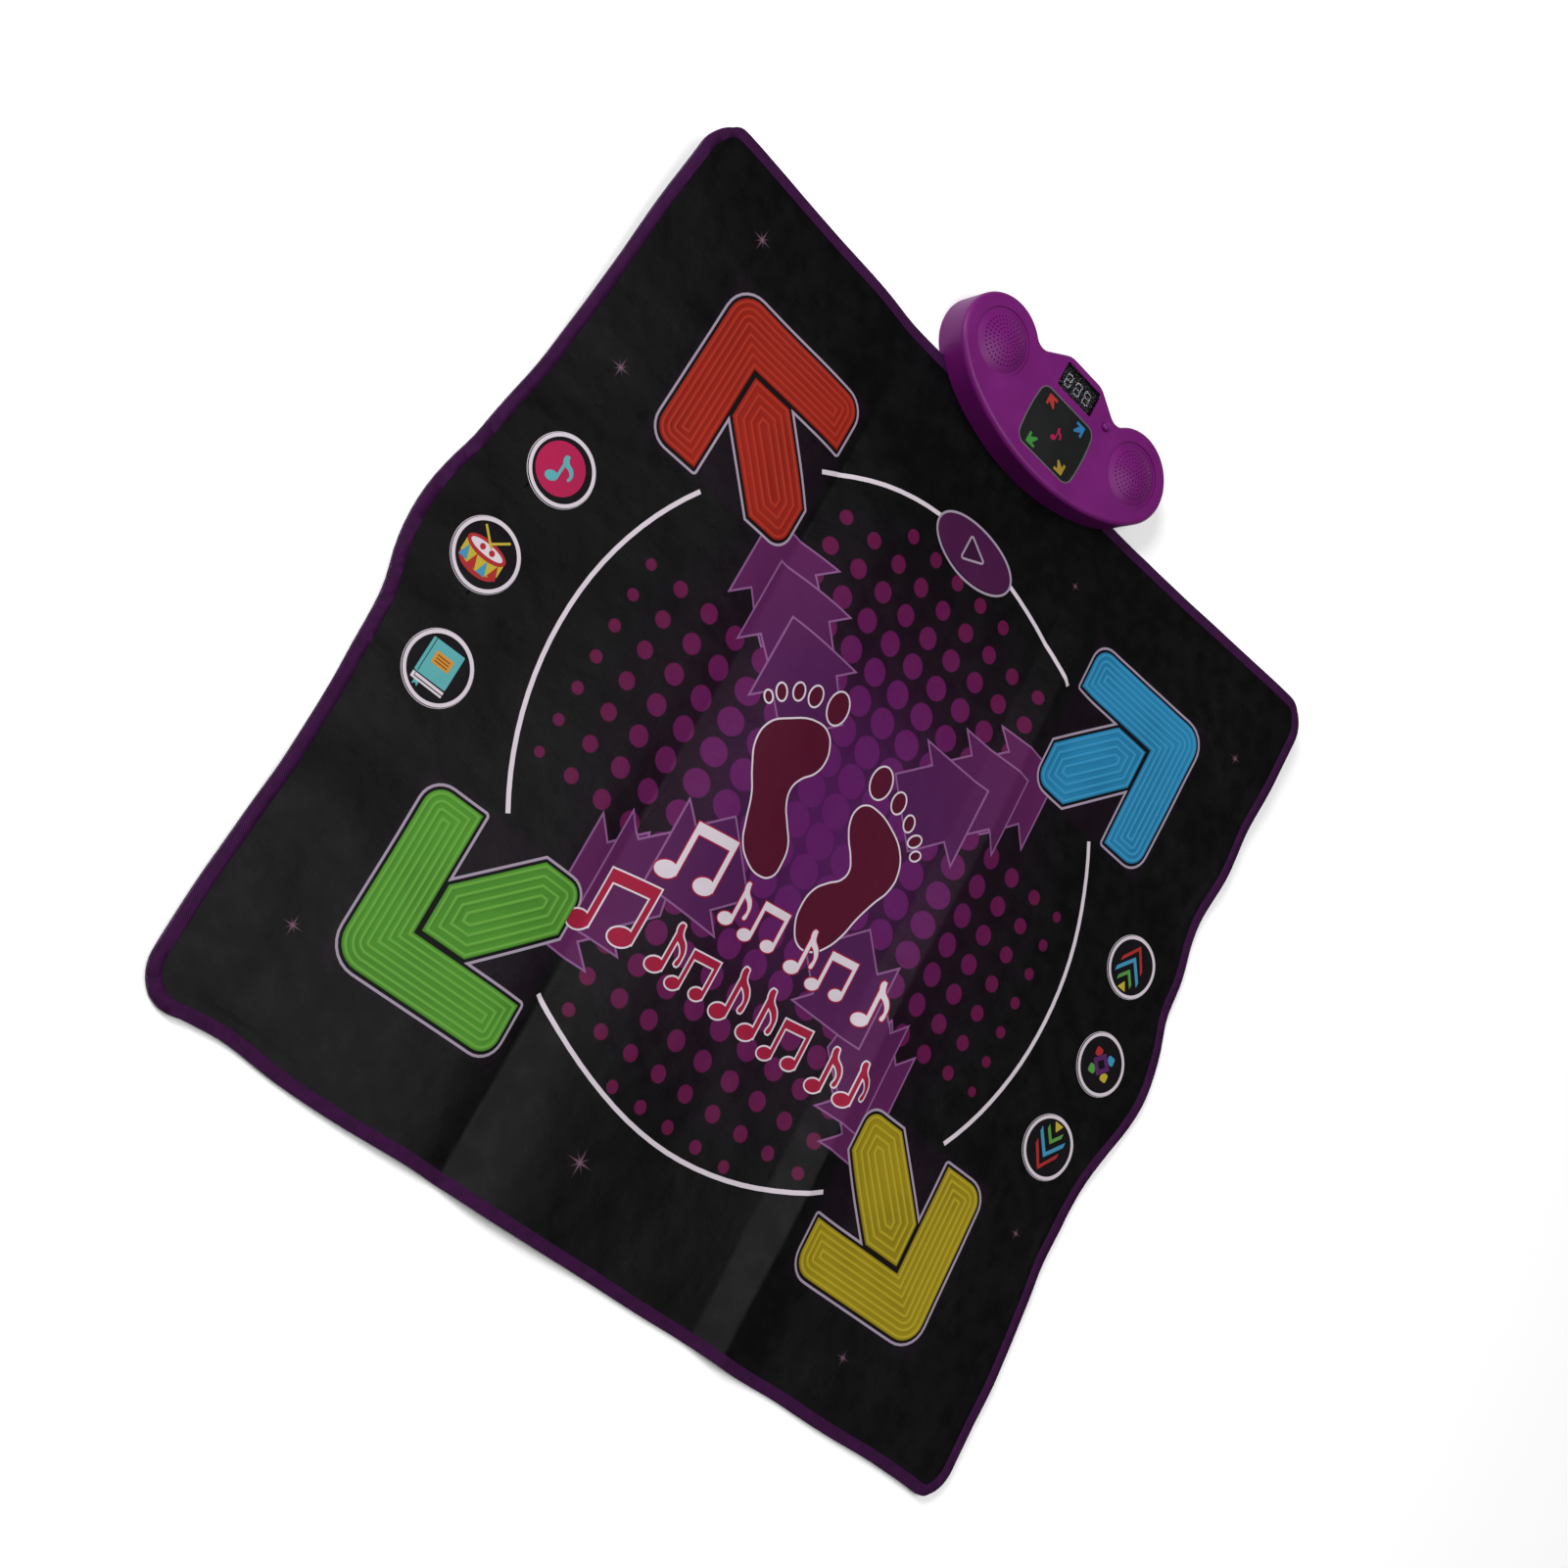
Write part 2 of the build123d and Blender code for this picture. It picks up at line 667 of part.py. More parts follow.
def speaker(name, point):
    """A round loudspeaker: frame, basket and magnet turned as one body."""
    frame_z = speaker_top_z - speaker_frame_thickness
    basket_z = frame_z - speaker_basket_depth
    magnet_z = basket_z - speaker_magnet_height
    with BuildPart() as driver:
        with BuildSketch(Plane.XZ):
            with BuildLine():
                Polyline(
                    (0, magnet_z),
                    (speaker_magnet_radius, magnet_z),
                    (speaker_magnet_radius, basket_z),
                    (speaker_opening_radius, frame_z),
                    (speaker_frame_radius, frame_z),
                    (speaker_frame_radius, speaker_top_z),
                    (speaker_opening_radius, speaker_top_z),
                    (speaker_magnet_radius, frame_z - speaker_basket_depth / 2),
                    (0, frame_z - speaker_basket_depth / 2),
                    close=True,
                )
            make_face()
        revolve(axis=Axis.Z)
    driver.part.position = (point[0], point[1], 0)
    write(driver, name)


for side_name, point in zip(("left", "right"), lobe_points):
    dome_grille(f"speaker_grille_{side_name}", point)
    speaker(f"speaker_{side_name}", point)

# ---- display ----
with BuildPart() as display_lens:
    with BuildSketch(Plane.XY.offset(console_roof_z - lens_thickness)):
        with Locations((0, display_y)):
            Rectangle(display_width + 2 * lens_flange, display_depth + 2 * lens_flange)
    extrude(amount=lens_thickness)
    with BuildSketch(Plane.XY.offset(console_roof_z)):
        with Locations((0, display_y)):
            lens_width = display_width - 2 * lens_fit
            lens_depth = display_depth - 2 * lens_fit
            RectangleRounded(lens_width, lens_depth, display_corner - lens_fit)
    extrude(amount=lens_z - console_roof_z)
write(display_lens, "display_lens")

digit_face_z = console_roof_z - lens_thickness - lens_gap
digit_depth = 0.4
module_margin = 2.0

with BuildPart() as display_module:
    with BuildSketch(Plane.XY.offset(board_top_z)):
        with Locations((0, display_y)):
            Rectangle(display_width - 2 * module_margin, display_depth - module_margin)
    extrude(amount=digit_face_z - digit_depth - board_top_z)
write(display_module, "display_module")


def digit_plan():
    """The seven strokes of one figure."""
    across = digit_width - digit_stroke
    up = (digit_height - digit_stroke) / 2
    length = digit_stroke * digit_stroke_gap
    with BuildSketch() as strokes:
        for level in (-1, 0, 1):
            with Locations((0, level * up)):
                Rectangle(across - length, digit_stroke)
        for level in (-0.5, 0.5):
            for side in (-0.5, 0.5):
                with Locations((side * across, level * up)):
                    Rectangle(digit_stroke, up - length)
    return strokes.sketch


def digit_places():
    """The figures' centres, evenly spaced about the display's middle."""
    first = -(digit_count - 1) / 2
    return [((first + i) * digit_pitch, display_y) for i in range(digit_count)]


with BuildPart() as display_digits:
    with BuildSketch(Plane.XY.offset(digit_face_z - digit_depth)):
        with Locations(*digit_places()):
            add(digit_plan())
    extrude(amount=digit_depth)
write(display_digits, "display_digits")

# ---- arrow panel ----
with BuildPart() as arrow_panel:
    add(slab(panel_outline(panel_border), panel_z, console_height))
    for colour in arrow_signs:
        add(slab(lamp_arrow(colour), panel_z, console_height), mode=Mode.SUBTRACT)
write(arrow_panel, "arrow_panel")

with BuildPart() as panel_frame:
    add(slab(panel_outline(), panel_z, console_height + panel_border_proud))
    add(slab(panel_outline(panel_border), panel_z, console_height + panel_border_proud), mode=Mode.SUBTRACT)
write(panel_frame, "panel_frame")

for colour in arrow_signs:
    with BuildPart() as light_guide:
        add(slab(lamp_arrow(colour), console_roof_z, console_height))
    write(light_guide, f"light_guide_{colour}")

# ---- power button ----
button_bottom_z = console_roof_z - button_flange
switch_top_z = board_top_z + switch_body_height + switch_plunger_height
button_point = (button_x, button_y)

with BuildPart() as power_button:
    flange_top_z = console_roof_z - button_flange_gap
    add(posts([button_point], button_radius + button_flange, button_bottom_z, flange_top_z))
    add(posts([button_point], button_radius, button_bottom_z, console_height + button_proud))
    fillet(power_button.faces().sort_by(Axis.Z)[-1].edges(), button_radius * button_round)
    add(posts([button_point], button_stem_radius, switch_top_z + switch_gap + button_travel, button_bottom_z))
write(power_button, "power_button")

with BuildPart() as power_switch:
    with BuildSketch(Plane.XY.offset(board_top_z)):
        with Locations(button_point):
            Rectangle(switch_side, switch_side)
    extrude(amount=switch_body_height)
    add(posts([button_point], button_stem_radius, board_top_z + switch_body_height, switch_top_z))
write(power_switch, "power_switch")

# ---- main board and what stands on it ----
connector_margin = 2.0
connector_front_y = board_front_y + connector_margin
connector_half_width = tail_half_width + connector_margin

with BuildPart() as main_board:
    with BuildSketch(Plane.XY.offset(board_height)):
        with BuildLine():
            Polyline(
                (-board_half_width, board_front_y),
                (board_half_width, board_front_y),
                (board_half_width, board_shoulder_y),
                (board_tongue_half, board_shoulder_y),
                (board_tongue_half, board_back_y),
                (-board_tongue_half, board_back_y),
                (-board_tongue_half, board_shoulder_y),
                (-board_half_width, board_shoulder_y),
                close=True,
            )
        make_face()
        with Locations(*post_points):
            Circle(board_screw_radius, mode=Mode.SUBTRACT)
    extrude(amount=board_thickness)
write(main_board, "main_board")

chip_size = 14.0
chip_height = 1.6
with BuildPart() as control_chip:
    with BuildSketch(Plane.XY.offset(board_top_z)):
        with Locations((0, panel_y)):
            Circle(chip_size / 2)
    extrude(amount=chip_height)
    fillet(control_chip.faces().sort_by(Axis.Z)[-1].edges(), chip_height / 2)
write(control_chip, "control_chip")

lamp_radius = 2.5
lamp_height = 8.0
lamp_round = 0.9             # of the lamp's radius
for colour, point in lamp_points.items():
    with BuildPart() as lamp:
        add(posts([point], lamp_radius, board_top_z, board_top_z + lamp_height))
        fillet(lamp.faces().sort_by(Axis.Z)[-1].edges(), lamp_radius * lamp_round)
    write(lamp, f"lamp_{colour}")

with BuildPart() as tail_connector:
    with BuildSketch(Plane.XY.offset(board_top_z)):
        with Locations((0, connector_front_y + connector_depth / 2)):
            Rectangle(2 * connector_half_width, connector_depth)
    extrude(amount=connector_height)
write(tail_connector, "tail_connector")

tail_end_z = board_top_z + connector_height / 2
tail_start_y = plate_front_y - film_inset
with BuildPart() as film_tail:
    with BuildSketch(Plane.YZ):
        with BuildLine():
            Polyline(
                (tail_start_y, film_high_z),
                (tail_y + film_thickness, film_high_z),
                (tail_y + film_thickness, tail_end_z - film_thickness),
                (connector_front_y, tail_end_z - film_thickness),
                (connector_front_y, tail_end_z),
                (tail_y, tail_end_z),
                (tail_y, foam_z),
                (tail_start_y, foam_z),
                close=True,
            )
        make_face()
    extrude(amount=tail_half_width, both=True)
write(film_tail, "film_tail")

# ---- speaker leads ----
lead_radius = 0.9
lead_bend = 4.0
for side_name, side in (("left", -1), ("right", 1)):
    lead_z = board_top_z + lead_radius
    basket_low = speaker_top_z - speaker_frame_thickness - speaker_basket_depth - speaker_magnet_height / 2
    with BuildPart() as speaker_lead:
        with BuildLine() as route:
            FilletPolyline(
                (side * (lobe_x - speaker_magnet_radius), lobe_y, basket_low),
                (side * (lobe_x - speaker_frame_radius), lobe_y, basket_low),
                (side * (board_half_width + 2 * lead_bend), lobe_y - 2 * lead_bend, lead_z),
                (side * (board_half_width - 2 * lead_bend), lobe_y - 2 * lead_bend, lead_z),
                radius=lead_bend,
            )
        with BuildSketch(route.line ^ 0):
            Circle(lead_radius)
        sweep()
    write(speaker_lead, f"speaker_lead_{side_name}")

# ---- batteries ----
nub_radius = 2.7
nub_length = 1.2
for number, row_y in enumerate(cell_rows, start=1):
    way = 1 if number % 2 else -1
    with BuildPart() as cell:
        with BuildSketch(Plane.YZ.offset(-way * cell_length / 2)):
            with Locations((row_y, cell_z)):
                Circle(cell_radius)
        extrude(amount=way * (cell_length - nub_length))
        fillet(cell.edges().filter_by(GeomType.CIRCLE), cell_edge_round)
        with BuildSketch(Plane.YZ.offset(way * (cell_length / 2 - nub_length))):
            with Locations((row_y, cell_z)):
                Circle(nub_radius)
        extrude(amount=way * nub_length)
    write(cell, f"battery_cell_{number}")

contact_thickness = 0.4
contact_half_height = 5.0
contact_half_width = 4.0
for side_name, side in (("left", -1), ("right", 1)):
    wall_x = side * bay_half_x
    face_x = side * (bay_half_x - contact_thickness)
    tip_x = side * (cell_length / 2 + contact_thickness)
    touch_x = side * cell_length / 2
    high = cell_z + contact_half_height
    low = cell_z - contact_half_height
    with BuildPart() as contacts:
        for row_y in cell_rows:
            with BuildSketch(Plane.XZ.offset(-row_y)):
                with BuildLine():
                    Polyline(
                        (wall_x, low),
                        (wall_x, high),
                        (face_x, high),
                        (touch_x, cell_z),
                        (face_x, low + contact_thickness),
                        (face_x, low),
                        close=True,
                    )
                make_face()
                with BuildLine():
                    Polyline(
                        (face_x, high - 2 * contact_thickness),
                        (tip_x, cell_z),
                        (face_x, low + 2 * contact_thickness),
                        close=True,
                    )
                make_face(mode=Mode.SUBTRACT)
            extrude(amount=contact_half_width, both=True)
    write(contacts, f"battery_contacts_{side_name}")

grip_groove = 0.5
door_low_z = door_recess
door_high_z = door_recess + door_thickness
with BuildPart() as battery_door:
    with BuildSketch(Plane.XY.offset(door_low_z)):
        with Locations((0, cell_row_y)):
            Rectangle(2 * bay_half_x - 2 * door_clearance, 2 * bay_half_y - 2 * door_clearance)
        with Locations((0, tab_y + door_tab_length / 4)):
            Rectangle(door_tab_width - 2 * door_clearance, 1.5 * door_tab_length - 2 * door_clearance)
    extrude(amount=door_thickness)
    with BuildSketch(Plane.XY.offset(door_low_z)):
        with Locations((0, cell_row_y)):
            with GridLocations(0, 2 * door_thickness, 1, 4):
                Rectangle(bay_half_x, door_thickness / 2)
    extrude(amount=grip_groove, mode=Mode.SUBTRACT)
    add(posts([(0, tab_y)], screw_radius, 0, door_high_z), mode=Mode.SUBTRACT)
    add(posts([(0, tab_y)], screw_head_radius, 0, door_low_z + door_thickness / 2), mode=Mode.SUBTRACT)
write(battery_door, "battery_door")


# ---- screws ----
slot_reach = 1.4             # a cross slot's length, in head radii


def screws(name, points, head_low, head_high, tip, head_radius, shank_radius, slot):
    """Pan screws on a list of points, each with a cross slot in its head's outer face."""
    down = head_low < tip
    outer = head_low if down else head_high
    slot_low = outer if down else outer - slot
    with BuildPart() as group:
        add(posts(points, head_radius, head_low, head_high))
        add(posts(points, shank_radius, min(head_low, tip), max(head_high, tip)))
        with BuildSketch(Plane.XY.offset(slot_low)):
            with Locations(*points):
                Rectangle(slot_reach * head_radius, slot)
                Rectangle(slot, slot_reach * head_radius)
        extrude(amount=slot, mode=Mode.SUBTRACT)
    write(group, name)


slot_depth = 0.6
case_screw_reach = 12.0      # above the parting line
case_screw_tip = parting_height + case_screw_reach
screws(
    "case_screws", rear_boss_points, console_wall, console_wall + screw_head_height, case_screw_tip,
    screw_head_radius, screw_radius, slot_depth,
)
screws(
    "mat_screws", front_boss_points, base_sheet_thickness, base_sheet_thickness + screw_head_height,
    case_screw_tip, screw_head_radius, screw_radius, slot_depth,
)
screws(
    "board_screws", post_points, board_top_z, board_top_z + board_thickness,
    board_height - board_screw_length, 2 * board_screw_radius, board_screw_radius, slot_depth / 2,
)
screws(
    "door_screw", [(0, tab_y)], door_low_z, door_low_z + door_thickness / 2,
    parting_height - 2 * console_wall, screw_head_radius, screw_radius, slot_depth,
)
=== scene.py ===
import math

import bmesh
import bpy
import numpy as np
from mathutils import Matrix, Vector, noise


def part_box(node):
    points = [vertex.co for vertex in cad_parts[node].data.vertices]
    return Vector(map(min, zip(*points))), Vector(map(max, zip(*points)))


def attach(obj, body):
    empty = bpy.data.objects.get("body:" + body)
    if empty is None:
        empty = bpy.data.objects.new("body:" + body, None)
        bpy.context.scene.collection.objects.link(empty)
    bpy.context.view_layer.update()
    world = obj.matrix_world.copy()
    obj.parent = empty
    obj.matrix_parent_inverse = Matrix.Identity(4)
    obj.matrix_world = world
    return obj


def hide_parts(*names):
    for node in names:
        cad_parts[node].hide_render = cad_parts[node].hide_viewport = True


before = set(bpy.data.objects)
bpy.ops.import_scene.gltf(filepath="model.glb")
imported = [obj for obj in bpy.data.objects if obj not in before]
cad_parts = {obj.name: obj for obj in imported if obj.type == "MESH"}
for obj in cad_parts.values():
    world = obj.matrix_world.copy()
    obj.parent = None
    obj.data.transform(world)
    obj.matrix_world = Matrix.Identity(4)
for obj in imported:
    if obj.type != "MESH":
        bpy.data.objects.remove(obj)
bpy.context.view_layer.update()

# A dance mat: a printed cloth over foam, bound with tape, with press pads and a control console.
# Metres, in the frame's own place. Flat pieces are made flat, then laid on the floor together.

mm = 0.001
cloth_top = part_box("top_sheet")[1].z
ink = 0.06 * mm              # thickness of one coat of print
floor_top = -0.05 * mm

# ---- how the mat lies ----
cross_step = 9 * mm
fold_step = 3 * mm
fold_bands = ((-0.216, -0.126), (0.099, 0.207))
left_crease = -0.168         # the foot of a valley that runs the length of the mat
right_crease = 0.123         # the foot of a ridge that runs the length of the mat
ridge_face = 0.037           # from the ridge's foot up to its crest
ridge_back = 0.060           # from its crest down again
# Sideways swells of the side edges: how far in millimetres, then where along the mat and how long.
left_swells = ((8, 0.45, 0.09), (3, 0.28, 0.08), (-8, 0.105, 0.045), (-5, -0.115, 0.05), (-6, -0.38, 0.11))
right_swells = (
    (-6, 0.44, 0.08), (-7, 0.31, 0.07), (-8, 0.19, 0.05), (4, 0.115, 0.03), (-10, -0.205, 0.08),
    (-7, -0.42, 0.10),
)


def lie_lines():
    """The lines across and along the mat where its lie is set, closer together over the two folds."""
    across = list(np.arange(-0.495, 0.4951, cross_step))
    for low, high in fold_bands:
        across = [x for x in across if x < low - fold_step / 2 or x > high + fold_step / 2]
        across += list(np.arange(low, high + fold_step / 2, fold_step))
    along = np.arange(-0.468, 0.4681, cross_step)
    return np.array(sorted(across)), along


def ease(value, low, high):
    """0 below low, 1 above high, and a soft step between them."""
    t = np.clip((value - low) / (high - low), 0, 1)
    return t * t * (3 - 2 * t)


def rounded(value):
    """0 below 0, then steep at first and level at 1."""
    return 1 - (1 - np.clip(value, 0, 1)) ** 2


def swell(value, centre, width):
    return np.exp(-(((value - centre) / width) ** 2))


def waves(x, y, stretch_x, stretch_y, seed):
    """Soft seeded unevenness, from -1 to 1."""
    shape = np.broadcast(x, y).shape
    flat_x = np.broadcast_to(x, shape).ravel()
    flat_y = np.broadcast_to(y, shape).ravel()
    values = [noise.noise((a / stretch_x, b / stretch_y, seed)) for a, b in zip(flat_x, flat_y)]
    return np.array(values).reshape(shape)


def folds(x, y):
    """Height of the two folds: banks on both sides of the valley, and a ridge with a sharp crest."""
    wander = 3 * mm * waves(x * 0, y, 1, 0.21, 3.1)
    past_left = x - left_crease - wander
    left_bank = 4 * mm * rounded(-past_left / 0.045) * (1 - ease(-past_left, 0.045, 0.17))
    right_bank = 7.5 * mm * rounded(past_left / 0.065) * (1 - ease(past_left, 0.07, 0.20))
    valley = (left_bank + right_bank) * (1 + 0.35 * waves(x * 0, y, 1, 0.16, 8.4))
    past_right = x - right_crease - wander
    rise = np.clip(past_right / ridge_face, 0, 1) * (1 - rounded((past_right - ridge_face) / ridge_back))
    ridge = 7.5 * mm * rise * (1 + 0.35 * waves(x * 0, y, 1, 0.19, 5.2))
    return valley + ridge


def drift(y, swells):
    return sum(height * mm * swell(y, centre, width) for height, centre, width in swells)


def mat_lie():
    """Height and sideways drift of the mat at every crossing of the lie lines."""
    x = line_x[:, None]
    y = line_y[None, :]
    left_lift = 23.5 * mm * ease(-x, 0.15, 0.465) * ease(y, 0.10, 0.46)
    right_lift = 17 * mm * ease(x, 0.15, 0.465) * ease(y, 0.12, 0.46)
    soft = 1.5 * mm * (waves(x, y, 0.17, 0.24, 1.7) + 0.45)
    small = 0.7 * mm * waves(x, y, 0.045, 0.10, 6.3)
    side = ease(np.abs(x), 0.30, 0.45)
    ripple = 2.6 * mm * side * (waves(x * 0.6, y, 0.3, 0.055, 2.9) + 0.2)
    off_console = 1 - ease(y, 0.325, 0.395) * (1 - ease(np.abs(x), 0.165, 0.23))
    uneven = off_console * (folds(x, y) + soft + small + ripple)
    height = np.maximum(left_lift + right_lift + uneven, 0)
    bottom_drift = 3 * mm + 6 * mm * swell(x, -0.385, 0.04) + 2 * mm * waves(x, y * 0, 0.08, 1, 4.4)
    drift_x = drift(y, left_swells) * ease(-x, 0.430, 0.453) + drift(y, right_swells) * ease(x, 0.430, 0.453)
    drift_y = bottom_drift * ease(-y, 0.425, 0.447) * (1 - ease(np.abs(x), 0.42, 0.45))
    return np.stack(np.broadcast_arrays(drift_x, drift_y, height), axis=-1)


line_x, line_y = lie_lines()
lie = mat_lie()


def lay(points):
    """Flat places on the mat, carried to where they lie on the floor."""
    i = np.clip(np.searchsorted(line_x, points[:, 0]) - 1, 0, len(line_x) - 2)
    j = np.clip(np.searchsorted(line_y, points[:, 1]) - 1, 0, len(line_y) - 2)
    s = np.clip((points[:, 0] - line_x[i]) / (line_x[i + 1] - line_x[i]), 0, 1)[:, None]
    t = np.clip((points[:, 1] - line_y[j]) / (line_y[j + 1] - line_y[j]), 0, 1)[:, None]
    near = lie[i, j] * (1 - s) + lie[i + 1, j] * s
    far = lie[i, j + 1] * (1 - s) + lie[i + 1, j + 1] * s
    return points + near * (1 - t) + far * t


def cut_on_lines(bm):
    """Cuts a flat mesh on the lie lines it reaches, so that every layer bends at the same places."""
    spread = np.array([v.co for v in bm.verts])
    for axis, lines in ((0, line_x), (1, line_y)):
        low, high = spread[:, axis].min(), spread[:, axis].max()
        normal = Vector((axis == 0, axis == 1, 0))
        for line in lines[(lines > low) & (lines < high)]:
            bmesh.ops.bisect_plane(
                bm,
                geom=bm.verts[:] + bm.edges[:] + bm.faces[:],
                dist=1e-7,
                plane_co=normal * line,
                plane_no=normal,
            )


def soften(mesh, angle):
    mesh.polygons.foreach_set("use_smooth", np.ones(len(mesh.polygons), bool))
    mesh.set_sharp_from_angle(angle=math.radians(angle))


def piece(name, bm, material, body="root", laid=True, angle=35):
    """A finished piece from its mesh. A laid piece keeps its flat place in the attribute named flat."""
    if laid:
        cut_on_lines(bm)
    mesh = bpy.data.meshes.new(name)
    bm.to_mesh(mesh)
    bm.free()
    places = np.zeros(len(mesh.vertices) * 3, np.float32)
    mesh.vertices.foreach_get("co", places)
    flat = mesh.attributes.new("flat", "FLOAT_VECTOR", "POINT")
    flat.data.foreach_set("vector", places)
    if laid:
        places = lay(places.reshape(-1, 3).astype(float)).astype(np.float32).ravel()
        mesh.vertices.foreach_set("co", places)
    soften(mesh, angle)
    mesh.materials.append(material)
    made = bpy.data.objects.new(name, mesh)
    bpy.context.scene.collection.objects.link(made)
    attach(made, body)
    return made


def node_copy(node):
    """A merged copy of a CAD node's mesh."""
    bm = bmesh.new()
    bm.from_mesh(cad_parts[node].data)
    bmesh.ops.remove_doubles(bm, verts=bm.verts, dist=1e-6)
    bmesh.ops.dissolve_degenerate(bm, dist=1e-7, edges=bm.edges)
    return bm


# ---- finishes ----
light_share = 0.58           # the studio lights the mat brighter than the colours are meant to show
ink_gloss = 0.42
thread_pitch = 0.9 * mm      # of the printed cloth
pad_thread_pitch = 0.8 * mm  # of the pads and the underside


def tint(red, green, blue):
    """A shader colour from the 0 to 255 values that it shows as under the studio's light."""
    parts = [c / 255 for c in (red, green, blue)]
    linear = [c / 12.92 if c <= 0.04045 else ((c + 0.055) / 1.055) ** 2.4 for c in parts]
    return tuple(c * light_share for c in linear) + (1.0,)


def feed(tree, socket, value):
    """Gives a socket its value, or joins it to another socket."""
    if isinstance(value, bpy.types.NodeSocket):
        tree.links.new(value, socket)
    else:
        socket.default_value = value


def node(tree, kind, settings=None, **inputs):
    made = tree.nodes.new("ShaderNode" + kind)
    for name, value in (settings or {}).items():
        setattr(made, name, value)
    for name, value in inputs.items():
        feed(tree, made.inputs[name.replace("_", " ")], value)
    return made


def sums(tree, operation, *values):
    """One step of arithmetic on sockets and numbers."""
    made = tree.nodes.new("ShaderNodeMath")
    made.operation = operation
    for socket, value in zip(made.inputs, values):
        feed(tree, socket, value)
    return made.outputs[0]


def fade(tree, value, low, high, start=0.0, end=1.0):
    """A soft step of a socket's value between low and high."""
    made = tree.nodes.new("ShaderNodeMapRange")
    made.interpolation_type = "SMOOTHSTEP"
    for name, number in (("From Min", low), ("From Max", high), ("To Min", start), ("To Max", end)):
        feed(tree, made.inputs[name], number)
    feed(tree, made.inputs["Value"], value)
    return made.outputs["Result"]


def blend(tree, share, first, second, way="MIX"):
    """Two colours mixed by a share."""
    made = tree.nodes.new("ShaderNodeMix")
    made.data_type = "RGBA"
    made.blend_type = way
    colours = [s for s in made.inputs if s.type == "RGBA"]
    feed(tree, made.inputs["Factor"], share)
    feed(tree, colours[0], first)
    feed(tree, colours[1], second)
    return next(s for s in made.outputs if s.type == "RGBA")


def new_finish(name, roughness=0.5, metallic=0.0, **constants):
    """A material with its shader; constants are set on the shader's own sockets."""
    material = bpy.data.materials.new(name)
    material.use_nodes = True
    tree = material.node_tree
    shader = next(n for n in tree.nodes if n.type == "BSDF_PRINCIPLED")
    shader.inputs["Roughness"].default_value = roughness
    shader.inputs["Metallic"].default_value = metallic
    for label, value in constants.items():
        shader.inputs[label.replace("_", " ")].default_value = value
    return material, tree, shader


def place_of(tree, flat=True):
    """Where the shader is: the flat place on a laid piece, or the object's own place."""
    if flat:
        return node(tree, "Attribute", {"attribute_name": "flat"}).outputs["Vector"]
    return node(tree, "TexCoord").outputs["Object"]


def grain(tree, place, scale, detail=3.0, roughness=0.5):
    made = node(tree, "TexNoise", Vector=place, Scale=scale, Detail=detail, Roughness=roughness)
    return made.outputs["Fac"]


def weave(tree, place, pitch):
    """Crossed threads, as a height from 0 to 1."""
    apart = node(tree, "SeparateXYZ", Vector=place)
    turn = math.tau / pitch
    across = sums(tree, "SINE", sums(tree, "MULTIPLY", apart.outputs["X"], turn))
    along = sums(tree, "SINE", sums(tree, "MULTIPLY", apart.outputs["Y"], turn))
    both = sums(tree, "MULTIPLY", across, along)
    return sums(tree, "MULTIPLY_ADD", both, 0.5, 0.5)


def bump(tree, shader, height, strength, distance):
    made = node(tree, "Bump", Strength=strength, Distance=distance, Height=height)
    feed(tree, shader.inputs["Normal"], made.outputs["Normal"])


def cloth_surface(tree, shader, place, gloss):
    """The satin coated weave shared by the printed cloth and everything printed on it."""
    mottle = grain(tree, place, 55.0, 4.0)
    feed(tree, shader.inputs["Roughness"], fade(tree, mottle, 0.3, 0.7, gloss - 0.05, gloss + 0.07))
    threads = weave(tree, place, thread_pitch)
    crumple = grain(tree, place, 26.0, 5.0, 0.55)
    creases = grain(tree, place, 9.0, 3.0, 0.5)
    height = sums(tree, "MULTIPLY_ADD", crumple, 22.0, threads)
    height = sums(tree, "MULTIPLY_ADD", creases, 90.0, height)
    bump(tree, shader, height, 0.55, 0.09 * mm)
    return mottle


